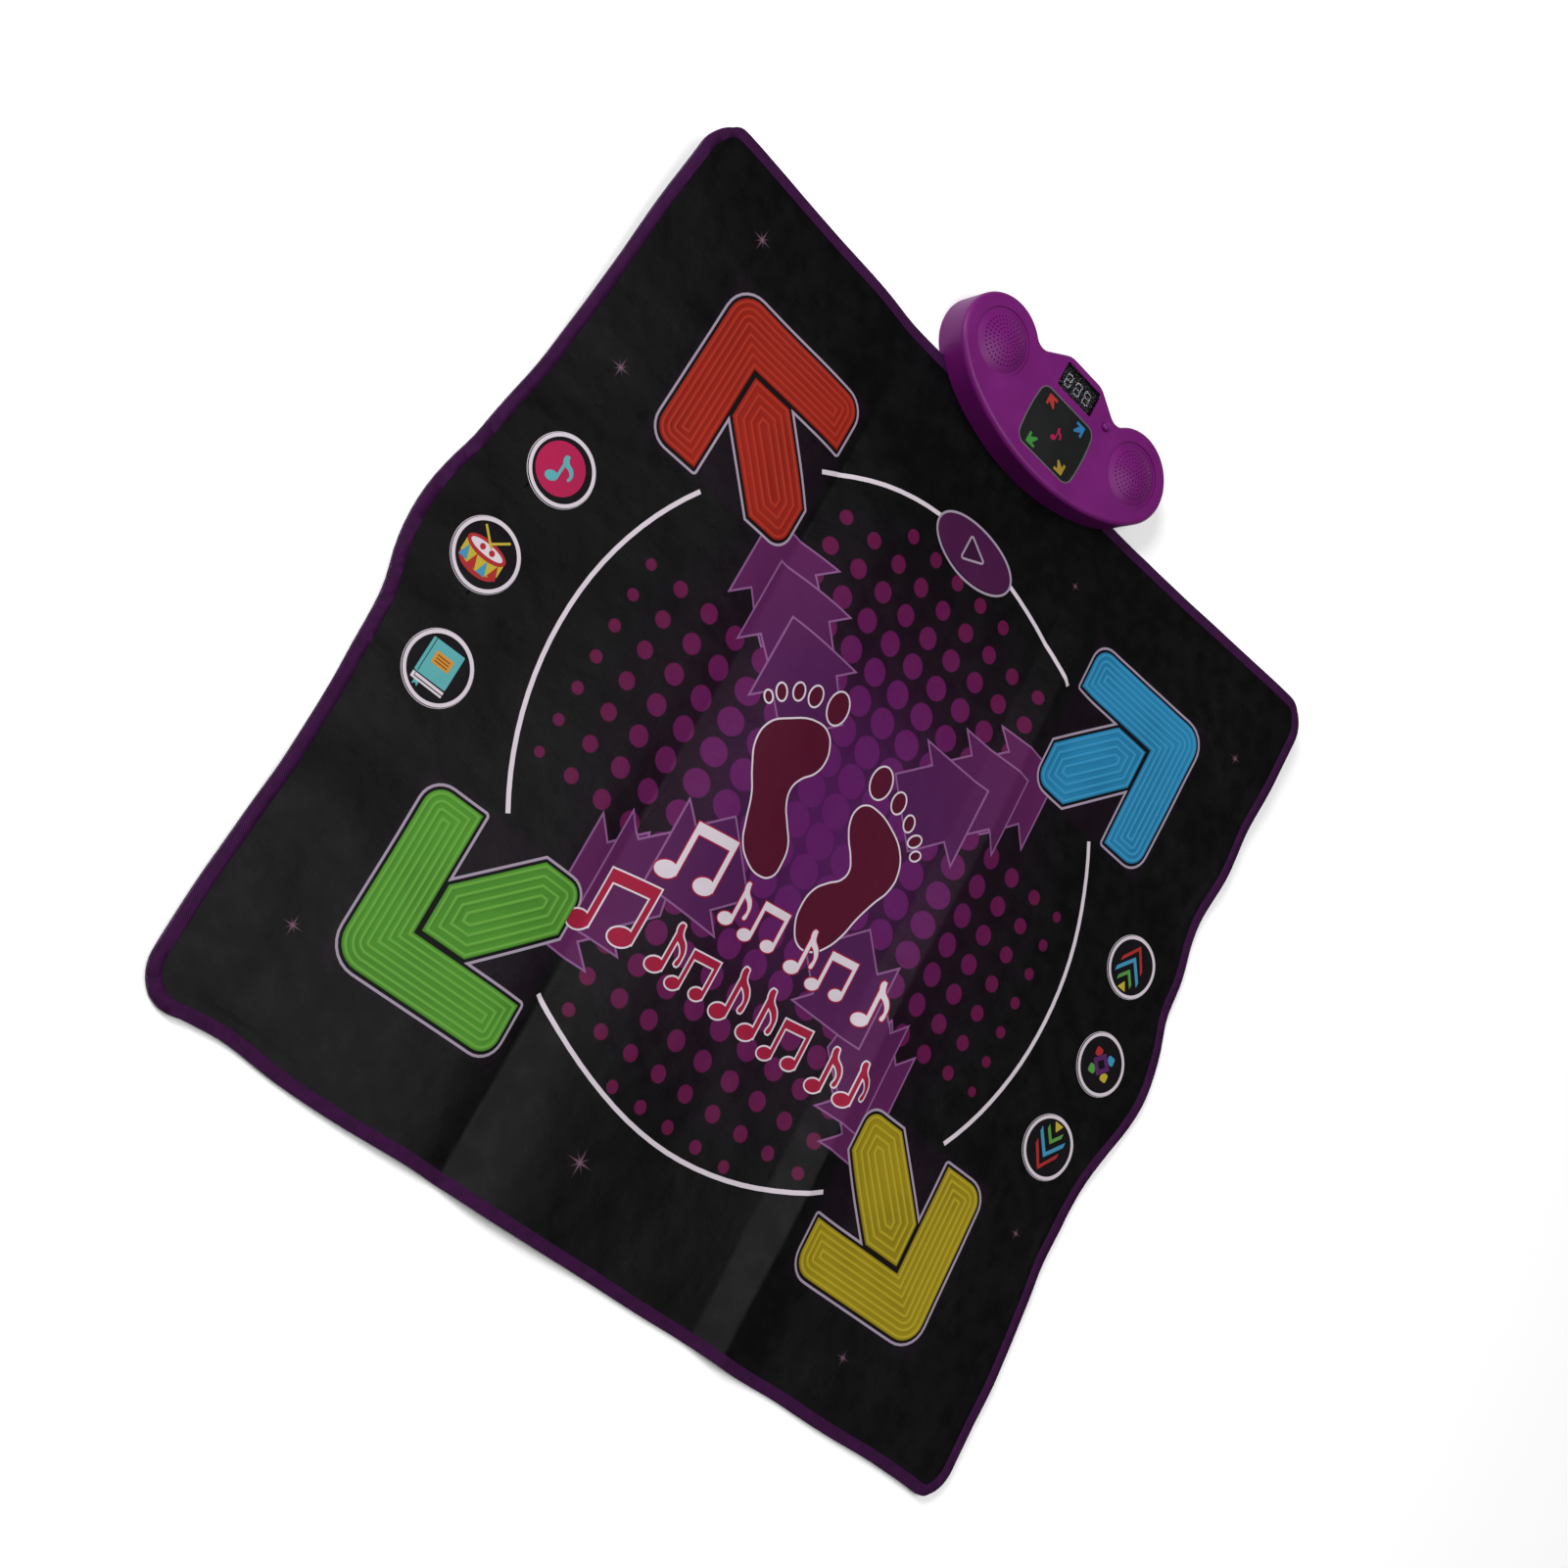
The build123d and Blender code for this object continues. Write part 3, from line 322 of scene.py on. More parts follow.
def halftone(tree, x, y):
    """The dotted glow at the middle of the mat: how much of a dot is at each place."""
    pitch_x = 35.6 * mm
    pitch_y = 33.1 * mm
    low_row = -11.5 * mm
    column = sums(tree, "ROUND", sums(tree, "DIVIDE", x, pitch_x))
    row = sums(tree, "ROUND", sums(tree, "DIVIDE", sums(tree, "SUBTRACT", y, low_row), pitch_y))
    dot_x = sums(tree, "MULTIPLY", column, pitch_x)
    dot_y = sums(tree, "MULTIPLY_ADD", row, pitch_y, low_row)
    away_x = sums(tree, "POWER", sums(tree, "SUBTRACT", x, dot_x), 2.0)
    away_y = sums(tree, "POWER", sums(tree, "SUBTRACT", y, dot_y), 2.0)
    away = sums(tree, "SQRT", sums(tree, "ADD", away_x, away_y))
    wide = sums(tree, "POWER", sums(tree, "MULTIPLY", dot_x, 1.12), 2.0)
    tall = sums(tree, "POWER", dot_y, 2.0)
    out = sums(tree, "SQRT", sums(tree, "ADD", wide, tall))
    size = sums(tree, "POWER", sums(tree, "DIVIDE", out, 0.42), 1.6)
    radius = sums(tree, "MULTIPLY_ADD", size, -17 * mm, 17 * mm)
    inside = fade(tree, sums(tree, "SUBTRACT", radius, away), -0.7 * mm, 0.7 * mm)
    columns = sums(tree, "ABSOLUTE", column)
    rows = sums(tree, "ABSOLUTE", sums(tree, "ADD", row, 0.35))
    wings = sums(tree, "MULTIPLY", sums(tree, "LESS_THAN", columns, 8.5), sums(tree, "LESS_THAN", rows, 3.5))
    trunk = sums(tree, "MULTIPLY", sums(tree, "LESS_THAN", columns, 4.5), sums(tree, "LESS_THAN", rows, 8.4))
    ends = sums(tree, "MULTIPLY", sums(tree, "LESS_THAN", columns, 2.5), sums(tree, "LESS_THAN", rows, 9.5))
    cross = sums(tree, "MAXIMUM", sums(tree, "MAXIMUM", wings, trunk), ends)
    return sums(tree, "MULTIPLY", inside, cross)


def twinkle(tree, x, y, centre, reach):
    """A small printed star: a bright core and thin rays."""
    dx = sums(tree, "ABSOLUTE", sums(tree, "SUBTRACT", x, centre[0]))
    dy = sums(tree, "ABSOLUTE", sums(tree, "SUBTRACT", y, centre[1]))
    flat_ray = sums(tree, "MULTIPLY_ADD", dy, 9.0, dx)
    tall_ray = sums(tree, "MULTIPLY_ADD", dx, 9.0, dy)
    both = sums(tree, "ADD", dx, dy)
    apart = sums(tree, "ABSOLUTE", sums(tree, "SUBTRACT", dx, dy))
    slant_ray = sums(tree, "MULTIPLY_ADD", apart, 9.0, both)
    nearest = sums(tree, "MINIMUM", sums(tree, "MINIMUM", flat_ray, tall_ray), slant_ray)
    return fade(tree, nearest, 0.0, reach, 1.0, 0.0)


arrow_centre = 267 * mm       # of each arrow, from the mat's middle, both ways
twinkles = (
    ((-0.360, 0.396), 15 * mm), ((-0.405, 0.209), 14 * mm), ((-0.388, -0.348), 13 * mm),
    ((-0.063, -0.378), 19 * mm), ((0.283, -0.391), 11 * mm), ((0.408, -0.198), 9 * mm),
    ((0.398, 0.358), 10 * mm), ((0.125, 0.379), 8 * mm),
)


def glow_colour(tree, x, y):
    """Black cloth with the purple glow, its dots, the halo round each arrow and the stars. The glow's middle
    is print, made brighter as painted light on the middle of the mat.
    """
    round_x = sums(tree, "POWER", sums(tree, "DIVIDE", x, 0.285), 2.0)
    round_y = sums(tree, "POWER", sums(tree, "DIVIDE", y, 0.315), 2.0)
    out = sums(tree, "SQRT", sums(tree, "ADD", round_x, round_y))
    heart_print_and_painted_light = fade(tree, out, 0.0, 0.62, 1.0, 0.0)
    veil = fade(tree, out, 0.15, 1.08, 1.0, 0.0)
    colour = blend(tree, veil, tint(8, 8, 9), tint(42, 15, 38))
    # the printed middle of the glow, in a brighter colour that also paints light on the mat's middle
    colour = blend(tree, heart_print_and_painted_light, colour, tint(81, 26, 86))
    warm = fade(tree, out, 0.2, 1.0)
    dots = blend(tree, warm, tint(97, 29, 99), tint(98, 18, 65))
    colour = blend(tree, halftone(tree, x, y), colour, dots)
    arrow_x = sums(tree, "SUBTRACT", sums(tree, "ABSOLUTE", x), arrow_centre)
    arrow_y = sums(tree, "SUBTRACT", sums(tree, "ABSOLUTE", y), arrow_centre)
    square_x = sums(tree, "ABSOLUTE", arrow_x)
    square_y = sums(tree, "ABSOLUTE", arrow_y)
    outside = sums(tree, "MAXIMUM", square_x, square_y)
    halo = fade(tree, outside, 84 * mm, 96 * mm, 0.18, 0.0)
    colour = blend(tree, halo, colour, tint(46, 14, 44))
    stars = 0.0
    for centre, reach in twinkles:
        stars = sums(tree, "ADD", stars, twinkle(tree, x, y, centre, reach))
    return blend(tree, sums(tree, "MINIMUM", stars, 1.0), colour, tint(128, 92, 112))


def printed_cloth():
    material, tree, shader = new_finish("printed_cloth", 0.32, Specular_IOR_Level=0.055)
    place = place_of(tree)
    apart = node(tree, "SeparateXYZ", Vector=place)
    colour = glow_colour(tree, apart.outputs["X"], apart.outputs["Y"])
    mottle = cloth_surface(tree, shader, place, 0.31)
    worn = blend(tree, fade(tree, mottle, 0.25, 0.75, 0.0, 0.04), colour, tint(60, 58, 62))
    feed(tree, shader.inputs["Base Color"], worn)
    return material


def print_ink(name, colour):
    """One colour of print, with the weave of the cloth showing through it."""
    material, tree, shader = new_finish(name, ink_gloss, Specular_IOR_Level=0.05)
    place = place_of(tree)
    mottle = cloth_surface(tree, shader, place, ink_gloss)
    darker = tuple(c * 0.86 for c in colour[:3]) + (1.0,)
    feed(tree, shader.inputs["Base Color"], blend(tree, mottle, darker, colour))
    return material


def ghost_ink(name, inner, outer, low, high):
    """Print that grows lighter away from the mat's middle."""
    material, tree, shader = new_finish(name, 0.40, Specular_IOR_Level=0.05)
    place = place_of(tree)
    cloth_surface(tree, shader, place, ink_gloss)
    out = node(tree, "VectorMath", {"operation": "LENGTH"}, Vector=place).outputs["Value"]
    feed(tree, shader.inputs["Base Color"], blend(tree, fade(tree, out, low, high), inner, outer))
    return material


def pad_cloth(name, groove, ridge, low, high):
    """The quilted cover of an arrow pad: paler on its ridges, with a fine weave."""
    material, tree, shader = new_finish(name, 0.5, Specular_IOR_Level=0.06)
    place = place_of(tree)
    level = node(tree, "SeparateXYZ", Vector=place).outputs["Z"]
    on_ridge = fade(tree, level, low, high)
    cloud = grain(tree, place, 16.0, 3.0)
    shaded = tuple(c * 0.85 for c in groove[:3]) + (1.0,)
    base = blend(tree, fade(tree, cloud, 0.35, 0.65), shaded, groove)
    feed(tree, shader.inputs["Base Color"], blend(tree, on_ridge, base, ridge))
    threads = weave(tree, place, pad_thread_pitch)
    crumple = grain(tree, place, 60.0, 3.0)
    bump(tree, shader, sums(tree, "MULTIPLY_ADD", crumple, 5.0, threads), 0.5, 0.07 * mm)
    rough = fade(tree, cloud, 0.3, 0.7, 0.43, 0.55)
    feed(tree, shader.inputs["Roughness"], rough)
    return material


def binding_tape():
    """Purple woven edging: ribs across the tape, with painted shade between them."""
    material, tree, shader = new_finish("binding_tape", 0.62, Sheen_Weight=0.06, Sheen_Roughness=0.4)
    shader.inputs["Sheen Tint"].default_value = tint(150, 60, 160)
    shader.inputs["Specular IOR Level"].default_value = 0.08
    place = place_of(tree)
    apart = node(tree, "SeparateXYZ", Vector=place)
    slant = sums(tree, "ADD", apart.outputs["X"], apart.outputs["Y"])
    ribs = sums(tree, "SINE", sums(tree, "MULTIPLY", slant, math.tau / (2.2 * mm)))
    cross = sums(tree, "SUBTRACT", apart.outputs["X"], apart.outputs["Y"])
    fine = sums(tree, "SINE", sums(tree, "MULTIPLY", cross, math.tau / (1.1 * mm)))
    height = sums(tree, "MULTIPLY_ADD", fine, 0.35, ribs)
    lumps = grain(tree, place, 120.0, 4.0)
    # share of the pale colour: painted shade in the grooves between the ribs, plus random lumps of tone
    shade = fade(tree, sums(tree, "MULTIPLY_ADD", lumps, 2.0, ribs), -0.6, 2.2)
    feed(tree, shader.inputs["Base Color"], blend(tree, shade, tint(24, 5, 29), tint(72, 17, 76)))
    bump(tree, shader, sums(tree, "MULTIPLY_ADD", lumps, 3.0, height), 0.7, 0.16 * mm)
    return material


def grip_cloth():
    """Black underside with rows of small rubber dots."""
    material, tree, shader = new_finish("grip_cloth", 0.75, Specular_IOR_Level=0.25)
    place = place_of(tree)
    apart = node(tree, "SeparateXYZ", Vector=place)
    pitch = 5.0 * mm
    across = sums(tree, "PINGPONG", apart.outputs["X"], pitch / 2)
    along = sums(tree, "PINGPONG", apart.outputs["Y"], pitch / 2)
    squares = sums(tree, "ADD", sums(tree, "POWER", across, 2.0), sums(tree, "POWER", along, 2.0))
    away = sums(tree, "SQRT", squares)
    dot = fade(tree, away, 0.7 * mm, 1.1 * mm, 1.0, 0.0)
    threads = weave(tree, place, pad_thread_pitch)
    cloud = grain(tree, place, 30.0, 4.0)
    base = blend(tree, fade(tree, cloud, 0.3, 0.7), tint(24, 24, 26), tint(34, 33, 36))
    feed(tree, shader.inputs["Base Color"], blend(tree, dot, base, tint(16, 16, 17)))
    bump(tree, shader, sums(tree, "MULTIPLY_ADD", dot, 3.0, threads), 0.8, 0.15 * mm)
    feed(tree, shader.inputs["Roughness"], fade(tree, dot, 0.0, 1.0, 0.82, 0.45))
    return material


def moulded_plastic(name, colour, roughness, metallic=0.0, **constants):
    """Moulded plastic with a fine spark texture, slightly polished where it has been handled."""
    material, tree, shader = new_finish(name, roughness, metallic, **constants)
    place = place_of(tree, flat=False)
    cloud = grain(tree, place, 22.0, 4.0)
    pale = tuple(min(1.0, c * 1.10) for c in colour[:3]) + (1.0,)
    deep = tuple(c * 0.92 for c in colour[:3]) + (1.0,)
    feed(tree, shader.inputs["Base Color"], blend(tree, fade(tree, cloud, 0.3, 0.7), deep, pale))
    feed(tree, shader.inputs["Roughness"], fade(tree, cloud, 0.3, 0.7, roughness - 0.05, roughness + 0.05))
    bump(tree, shader, grain(tree, place, 2600.0, 2.0), 0.35, 0.03 * mm)
    return material


def porous(name, light, cell_hollow_shade):
    """Cut foam: fine open cells, with painted shade in the hollow of each cell."""
    material, tree, shader = new_finish(name, 0.9, Specular_IOR_Level=0.2)
    place = place_of(tree)
    cells = node(tree, "TexVoronoi", Vector=place, Scale=900.0).outputs["Distance"]
    # darker where the cell bump is low: painted shade in each cell's hollow
    feed(tree, shader.inputs["Base Color"], blend(tree, fade(tree, cells, 0.1, 0.7), cell_hollow_shade, light))
    bump(tree, shader, cells, 0.6, 0.3 * mm)
    return material


def brushed_metal(name, colour):
    """Bright metal with fine scratches that run across the mat."""
    roughness = 0.3
    material, tree, shader = new_finish(name, roughness, 1.0)
    stretch = (40.0, 900.0, 900.0)
    place = node(tree, "Mapping", Vector=place_of(tree, flat=False), Scale=stretch).outputs["Vector"]
    scratches = grain(tree, place, 6.0, 4.0)
    deep = tuple(c * 0.75 for c in colour[:3]) + (1.0,)
    feed(tree, shader.inputs["Base Color"], blend(tree, scratches, deep, colour))
    rough = fade(tree, scratches, 0.2, 0.8, roughness - 0.08, roughness + 0.12)
    feed(tree, shader.inputs["Roughness"], rough)
    bump(tree, shader, scratches, 0.2, 0.02 * mm)
    return material


# ---- the mat's layers ----
cloth = printed_cloth()
layer_finishes = {
    "top_sheet": (cloth, "printed_cloth"),
    "foam_pad": (porous("grey_foam", tint(70, 70, 74), tint(38, 38, 41)), "foam"),
    "spacer_foam": (porous("white_foam", tint(190, 190, 186), tint(120, 120, 118)), "foam"),
    "contact_film_upper": (moulded_plastic("upper_film", tint(60, 58, 56), 0.3), "contact_film"),
    "contact_film_lower": (moulded_plastic("lower_film", tint(70, 67, 63), 0.3), "contact_film"),
    "base_sheet": (grip_cloth(), "grip_cloth"),
}
for layer, (finish, slot) in layer_finishes.items():
    piece("laid_" + layer, node_copy(layer), finish)
    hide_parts(layer)

binding = piece("laid_edge_binding", node_copy("edge_binding"), binding_tape(), angle=50)
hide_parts("edge_binding")


# ---- flat shapes ----
def thicken(bm, low, high):
    """Turns flat faces into a closed plate between two levels."""
    bmesh.ops.translate(bm, verts=bm.verts, vec=(0, 0, low))
    grown = bmesh.ops.extrude_face_region(bm, geom=bm.faces[:])["geom"]
    upper = [v for v in grown if isinstance(v, bmesh.types.BMVert)]
    bmesh.ops.translate(bm, verts=upper, vec=(0, 0, high - low))
    bmesh.ops.recalc_face_normals(bm, faces=bm.faces)


def cornered(bm, corners, radii=None, level=0.0):
    """A flat face from its corners, some of them rounded."""
    before = set(bm.faces)
    points = [bm.verts.new((x, y, level)) for x, y in corners]
    bm.faces.new(points).normal_update()
    for point, radius in zip(points, radii or ()):
        if radius:
            bmesh.ops.bevel(
                bm, geom=[point], offset=radius, segments=7, profile=0.5, affect="VERTICES", material=-1
            )
    return next(f for f in bm.faces if f not in before)


def oval(bm, centre, half_width, half_height, turn=0.0, segments=40):
    """A flat oval face, turned by some degrees."""
    place = (
        Matrix.Translation((centre[0], centre[1], 0))
        @ Matrix.Rotation(math.radians(turn), 4, "Z")
        @ Matrix.Diagonal((half_width, half_height, 1, 1))
    )
    bmesh.ops.create_circle(bm, cap_ends=True, segments=segments, radius=1, matrix=place)


def smooth_outline(bm, points):
    """A flat face inside a smooth closed line through some points."""
    data = bpy.data.curves.new("outline", "CURVE")
    data.dimensions = "2D"
    data.fill_mode = "FRONT"
    data.resolution_u = 5
    spline = data.splines.new("BEZIER")
    spline.bezier_points.add(len(points) - 1)
    for knot, (x, y) in zip(spline.bezier_points, points):
        knot.co = (x * mm, y * mm, 0)
        knot.handle_left_type = knot.handle_right_type = "AUTO"
    spline.use_cyclic_u = True
    holder = bpy.data.objects.new("outline", data)
    mesh = bpy.data.meshes.new_from_object(holder)
    bm.from_mesh(mesh)
    bmesh.ops.remove_doubles(bm, verts=bm.verts, dist=1e-6)
    bpy.data.objects.remove(holder)
    bpy.data.curves.remove(data)
    bpy.data.meshes.remove(mesh)


def arc_band(bm, centre, radius, width, start, end):
    """A flat band along part of a circle, between two angles in degrees."""
    turn = Matrix.Rotation(math.radians(start), 3, "Z")
    ends = [bm.verts.new(turn @ Vector((radius + side * width / 2, 0, 0)) + centre) for side in (-1, 1)]
    edge = bm.edges.new(ends)
    steps = max(2, round(abs(end - start) / 3))
    bmesh.ops.spin(
        bm, geom=[edge, *ends], cent=centre, axis=(0, 0, 1), angle=math.radians(end - start), steps=steps
    )


def grow(bm, width, ring):
    """Grows flat faces by an even border, and keeps the border alone or the grown faces alone."""
    grown = bm.faces[:]
    bmesh.ops.inset_region(bm, faces=grown, thickness=-width, use_even_offset=True, use_boundary=True)
    border = [f for f in bm.faces if f not in set(grown)]
    bmesh.ops.delete(bm, geom=grown if ring else border, context="FACES")


def printed(
    name, draw, coat, fill, line=None, width=2 * mm, under=False,
    base=cloth_top, body="root", slot="printed_cloth",
):
    """A printed shape and its outline. The outline is a ring round the shape, or lies under all of it."""
    for part, finish in (("fill", fill), ("line", line)):
        if finish is None:
            continue
        bm = bmesh.new()
        draw(bm)
        low = base + (coat - 1) * ink
        if part == "line":
            grow(bm, width, ring=not under)
            low -= ink * under
        thicken(bm, low - ink / 2 if coat == 1 else low, low + ink)
        made = piece(f"{name}_{part}", bm, finish, body)


black_ink = print_ink("black_ink", tint(18, 15, 19))
lilac = print_ink("lilac_ink", tint(172, 156, 176))
white = print_ink("white_ink", tint(228, 216, 226))
pink_line = print_ink("ghost_line_ink", tint(142, 92, 142))
maroon = print_ink("maroon_ink", tint(85, 17, 43))
crimson = print_ink("crimson_ink", tint(165, 30, 62))
ghost = ghost_ink("ghost_ink", tint(76, 28, 80), tint(92, 33, 84), 0.08, 0.30)


# ---- arrow pads ----
arrows = {"red": (-1, 1), "blue": (1, 1), "green": (-1, -1), "yellow": (1, -1)}
head_low, head_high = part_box("arrow_head_blue")
shaft_low, shaft_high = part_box("arrow_shaft_blue")
pad_bottom = head_low.z
ridge_top = head_high.z
groove_top = ridge_top - 0.45 * mm
head_gap = 5 * mm
shaft_leg = 44 * mm
tip_radius = 25 * mm
arm_radius = 19 * mm
tail_radius = 15 * mm
least_radius = 1.2 * mm
ridge_count = 4


def head_plan(inset):
    """Corners and roundings of an arrow head, drawn in by some distance."""
    outer = head_high.x - inset
    near = head_low.x + inset
    inner = shaft_high.x + head_gap + inset
    corners = [(near, outer), (outer, outer), (outer, near), (inner, near), (inner, inner), (near, inner)]
    arm = max(arm_radius - inset, least_radius)
    return corners, [arm, max(tip_radius - inset, least_radius), arm, 0, 0, 0]


def shaft_plan(inset):
    """Corners and roundings of an arrow shaft, drawn in by some distance."""
    high = shaft_high.x - inset
    low = shaft_low.x + inset
    leg = shaft_leg - inset * math.sqrt(2)
    corners = [(high, high), (high, high - leg), (low + leg, low), (low, low)]
    corners += [(low, low + leg), (high - leg, high)]
    return corners, [0, 0, 0, max(tail_radius - inset, least_radius), 0, 0]


def quilted_profile(half_width):
    """Inset and level, from the pad's foot up its side and over each ridge."""
    profile = [(0, pad_bottom), (0, groove_top - 0.7 * mm)]
    profile += [(0.25 * mm, groove_top - 0.2 * mm), (0.9 * mm, groove_top)]
    pitch = half_width / (ridge_count + 0.05)
    for number in range(ridge_count):
        middle = 3.1 * mm + number * pitch
        for aside, rise in ((-1.7, 0), (-0.9, 0.75), (0, 1), (0.9, 0.75), (1.7, 0)):
            profile.append((middle + aside * mm, groove_top + rise * (ridge_top - groove_top)))
    return profile


def quilted_pad(plan, signs, half_width):
    """A pad whose top runs in even ridges, each inside the last."""
    bm = bmesh.new()
    rings = []
    for inset, level in quilted_profile(half_width):
        corners, radii = plan(inset)
        corners = [(signs[0] * x, signs[1] * y) for x, y in corners]
        rings.append(cornered(bm, corners, radii, level))
    edges = [list(ring.edges) for ring in rings]
    bmesh.ops.delete(bm, geom=rings[1:-1], context="FACES_ONLY")
    for outer, inner in zip(edges, edges[1:]):
        for pair in zip(outer, inner):
            bmesh.ops.contextual_create(bm, geom=pair)
    bmesh.ops.triangulate(bm, faces=[f for f in bm.faces if len(f.verts) > 4])
    bmesh.ops.recalc_face_normals(bm, faces=bm.faces)
    return bm


pad_colours = {
    "red": (tint(152, 34, 22), tint(172, 50, 34)),
    "blue": (tint(38, 132, 180), tint(60, 150, 196)),
    "green": (tint(80, 146, 47), tint(106, 166, 66)),
    "yellow": (tint(158, 138, 22), tint(182, 164, 40)),
}
for colour, (groove, ridge) in pad_colours.items():
    quilt = pad_cloth(colour + "_pad_cloth", groove, ridge, groove_top, ridge_top)
    for part, plan, half_width in (("head", head_plan, 26 * mm), ("shaft", shaft_plan, 31 * mm)):
        bm = quilted_pad(plan, arrows[colour], half_width)
        pad = piece(f"laid_{part}_{colour}", bm, quilt, "arrow_" + colour, angle=60)
        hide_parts(f"arrow_{part}_{colour}")


def arrow_silhouette(signs):
    """The outer line of a whole arrow, head and shaft together."""
    margin = 2.8 * mm
    tip = head_high.x + margin
    end = head_low.x - margin
    inner = shaft_high.x + head_gap - margin
    leg = shaft_leg + margin * math.sqrt(2)
    corners = [
        (tip, tip), (tip, end), (inner, end), (inner, inner - leg), (end + leg, end),
        (end, end), (end, end + leg), (inner - leg, inner), (end, inner), (end, tip),
    ]
    arm = arm_radius + margin
    radii = [tip_radius + margin, arm, 2 * mm, 0, 0, tail_radius + margin, 0, 0, 2 * mm, arm]
    return [(signs[0] * x, signs[1] * y) for x, y in corners], radii


for colour, signs in arrows.items():
    silhouette = arrow_silhouette(signs)
    printed("arrow_field_" + colour, lambda bm: cornered(bm, *silhouette), 4, black_ink, lilac, 2.4 * mm)

# ---- the big ring ----
ring_centre = Vector((0, 1 * mm, 0))
ring_radius = 329 * mm
ring_arcs = ((148.6, 211.4), (238.4, 302.4), (-31.2, 31.8), (59.6, 80.2), (99.8, 124.6))
bm = bmesh.new()
for start, end in ring_arcs:
    arc_band(bm, ring_centre, ring_radius, 4.4 * mm, start, end)
thicken(bm, cloth_top - ink / 2, cloth_top + ink)
piece("ring_line", bm, white)


# ---- the ghost arrows ----
def ghost_plan(signs, corner, barbs, notch, shaft):
    """An arrow that points to its corner: two barbs, a notch behind each, and a shaft towards the middle."""
    cx, cy = corner
    bx, by = barbs
    left_notch = (cx - bx + notch, cy - notch)
    right_notch = (cx - notch, cy - by + notch)
    corners = [
        (cx, cy), (cx - bx, cy), left_notch, (left_notch[0] - shaft, left_notch[1] - shaft),
        (right_notch[0] - shaft, right_notch[1] - shaft), right_notch, (cx, cy - by),
    ]
    return [(signs[0] * x * mm, signs[1] * y * mm) for x, y in corners]


upper_ghosts = (
    ((207, 204), (82, 84), 17, 38),
    ((175, 176), (84, 84), 17, 38),
    ((139, 139), (82, 84), 16, 32),
)
lower_ghosts = (
    ((205, 240), (56, 118), 17, 30),
    ((180, 214), (50, 112), 17, 34),
    ((140, 147), (84, 84), 16, 30),
)
for colour, signs in arrows.items():
    for coat, (corner, barbs, notch, shaft) in enumerate(upper_ghosts if signs[1] > 0 else lower_ghosts, 1):
        corners = ghost_plan(signs, corner, barbs, notch, shaft)
        printed(
            f"ghost_{colour}_{coat}", lambda bm: cornered(bm, corners), coat, ghost, pink_line, 1.9 * mm
        )

# ---- footprints ----
feet_shift = -4.5            # millimetres, of both feet
left_sole = (
    (-60, 75), (-45, 74), (-36, 64), (-33, 50), (-37, 36), (-48, 22), (-53, 8), (-49, -7), (-37, -22),
    (-26, -36), (-23, -52), (-26, -69), (-40, -76), (-57, -72), (-70, -61), (-77, -45), (-86, -20),
    (-98, -1), (-108, 22), (-105, 43), (-90, 58),
)
right_sole = (
    (45, 49), (32, 46), (25, 36), (25, 24), (32, 10), (43, -3), (49, -15), (46, -27), (34, -39), (24, -52),
    (20, -72), (24, -90), (37, -103), (52, -100), (64, -88), (73, -70), (79, -48), (88, -24), (96, -6),
    (97, 12), (88, 31), (68, 44),
)
left_toes = (
    ((-48, 100), 11.6, 16.2, 0), ((-76, 93.5), 7.0, 10.0, 0), ((-94, 86), 5.6, 8.0, 8),
    ((-109.5, 74.5), 5.0, 7.6, 28), ((-118.5, 63), 3.6, 5.2, 35),
)
right_toes = (
    ((35, 74), 11.6, 16.2, 0), ((62.5, 70), 7.2, 10.6, 0), ((83, 60.5), 5.4, 7.8, 5),
    ((97.5, 50), 4.6, 7.8, -38), ((105.5, 38.5), 3.8, 5.8, -42),
)


def footprint(bm, sole, toes):
    smooth_outline(bm, [(x + feet_shift, y) for x, y in sole])
    for centre, half_width, half_height, turn in toes:
        place = ((centre[0] + feet_shift) * mm, centre[1] * mm)
        oval(bm, place, half_width * mm, half_height * mm, turn, 28)


for side, sole, toes in (("left", left_sole, left_toes), ("right", right_sole, right_toes)):
    printed(f"foot_{side}", lambda bm: footprint(bm, sole, toes), 4, maroon, white, 1.7 * mm)


# ---- music notes ----
overlap_step = 0.012 * mm    # keeps the parts of one note from sharing a surface
stem_half = 1.7              # half the width of a note's stem, in millimetres at size 1


def note_head(bm, x, y, size):
    oval(bm, (x * mm, y * mm), 7.6 * size * mm, 5.2 * size * mm, 24, 26)


def bar(bm, ends, half):
    """A straight stroke of even upright width."""
    (ax, ay), (bx, by) = ends
    corners = [(ax, ay - half), (bx, by - half), (bx, by + half), (ax, ay + half)]
    cornered(bm, [(x * mm, y * mm) for x, y in corners], level=2 * overlap_step)


def stem(bm, x, y, size, height):
    left = x - stem_half * size
    right = x + stem_half * size
    corners = [(left, y), (right, y), (right, y + height), (left, y + height)]
    cornered(bm, [(a * mm, b * mm) for a, b in corners], [0, 0, mm, mm], overlap_step)


def single_note(bm, x, y, size):
    """A head, its stem and one curved tail."""
    height = 36 * size
    top = y + height
    note_head(bm, x, y, size)
    stem(bm, x + 5.6 * size, y, size, height)
    tail = [(5.2, 0), (9, -7), (15, -12), (17.5, -20), (15, -28), (14.8, -20), (11, -14.5), (5.2, -11)]
    smooth_outline(bm, [(x + a * size, top + b * size) for a, b in tail])


def note_pair(bm, x, y, size):
    """Two heads whose stems are joined by a thick slanting bar."""
    reach = 13 * size
    height = 34 * size
    lean = 5 * size
    for side in (-1, 1):
        note_head(bm, x + side * reach - 5.6 * size, y + side * lean / 2, size)
        stem(bm, x + side * reach, y + side * lean / 2, size, height)
    far = reach + stem_half * size
    ends = [(x + side * far, y + side * lean / 2 + height - 3 * size) for side in (-1, 1)]
    bar(bm, ends, 3.6 * size)


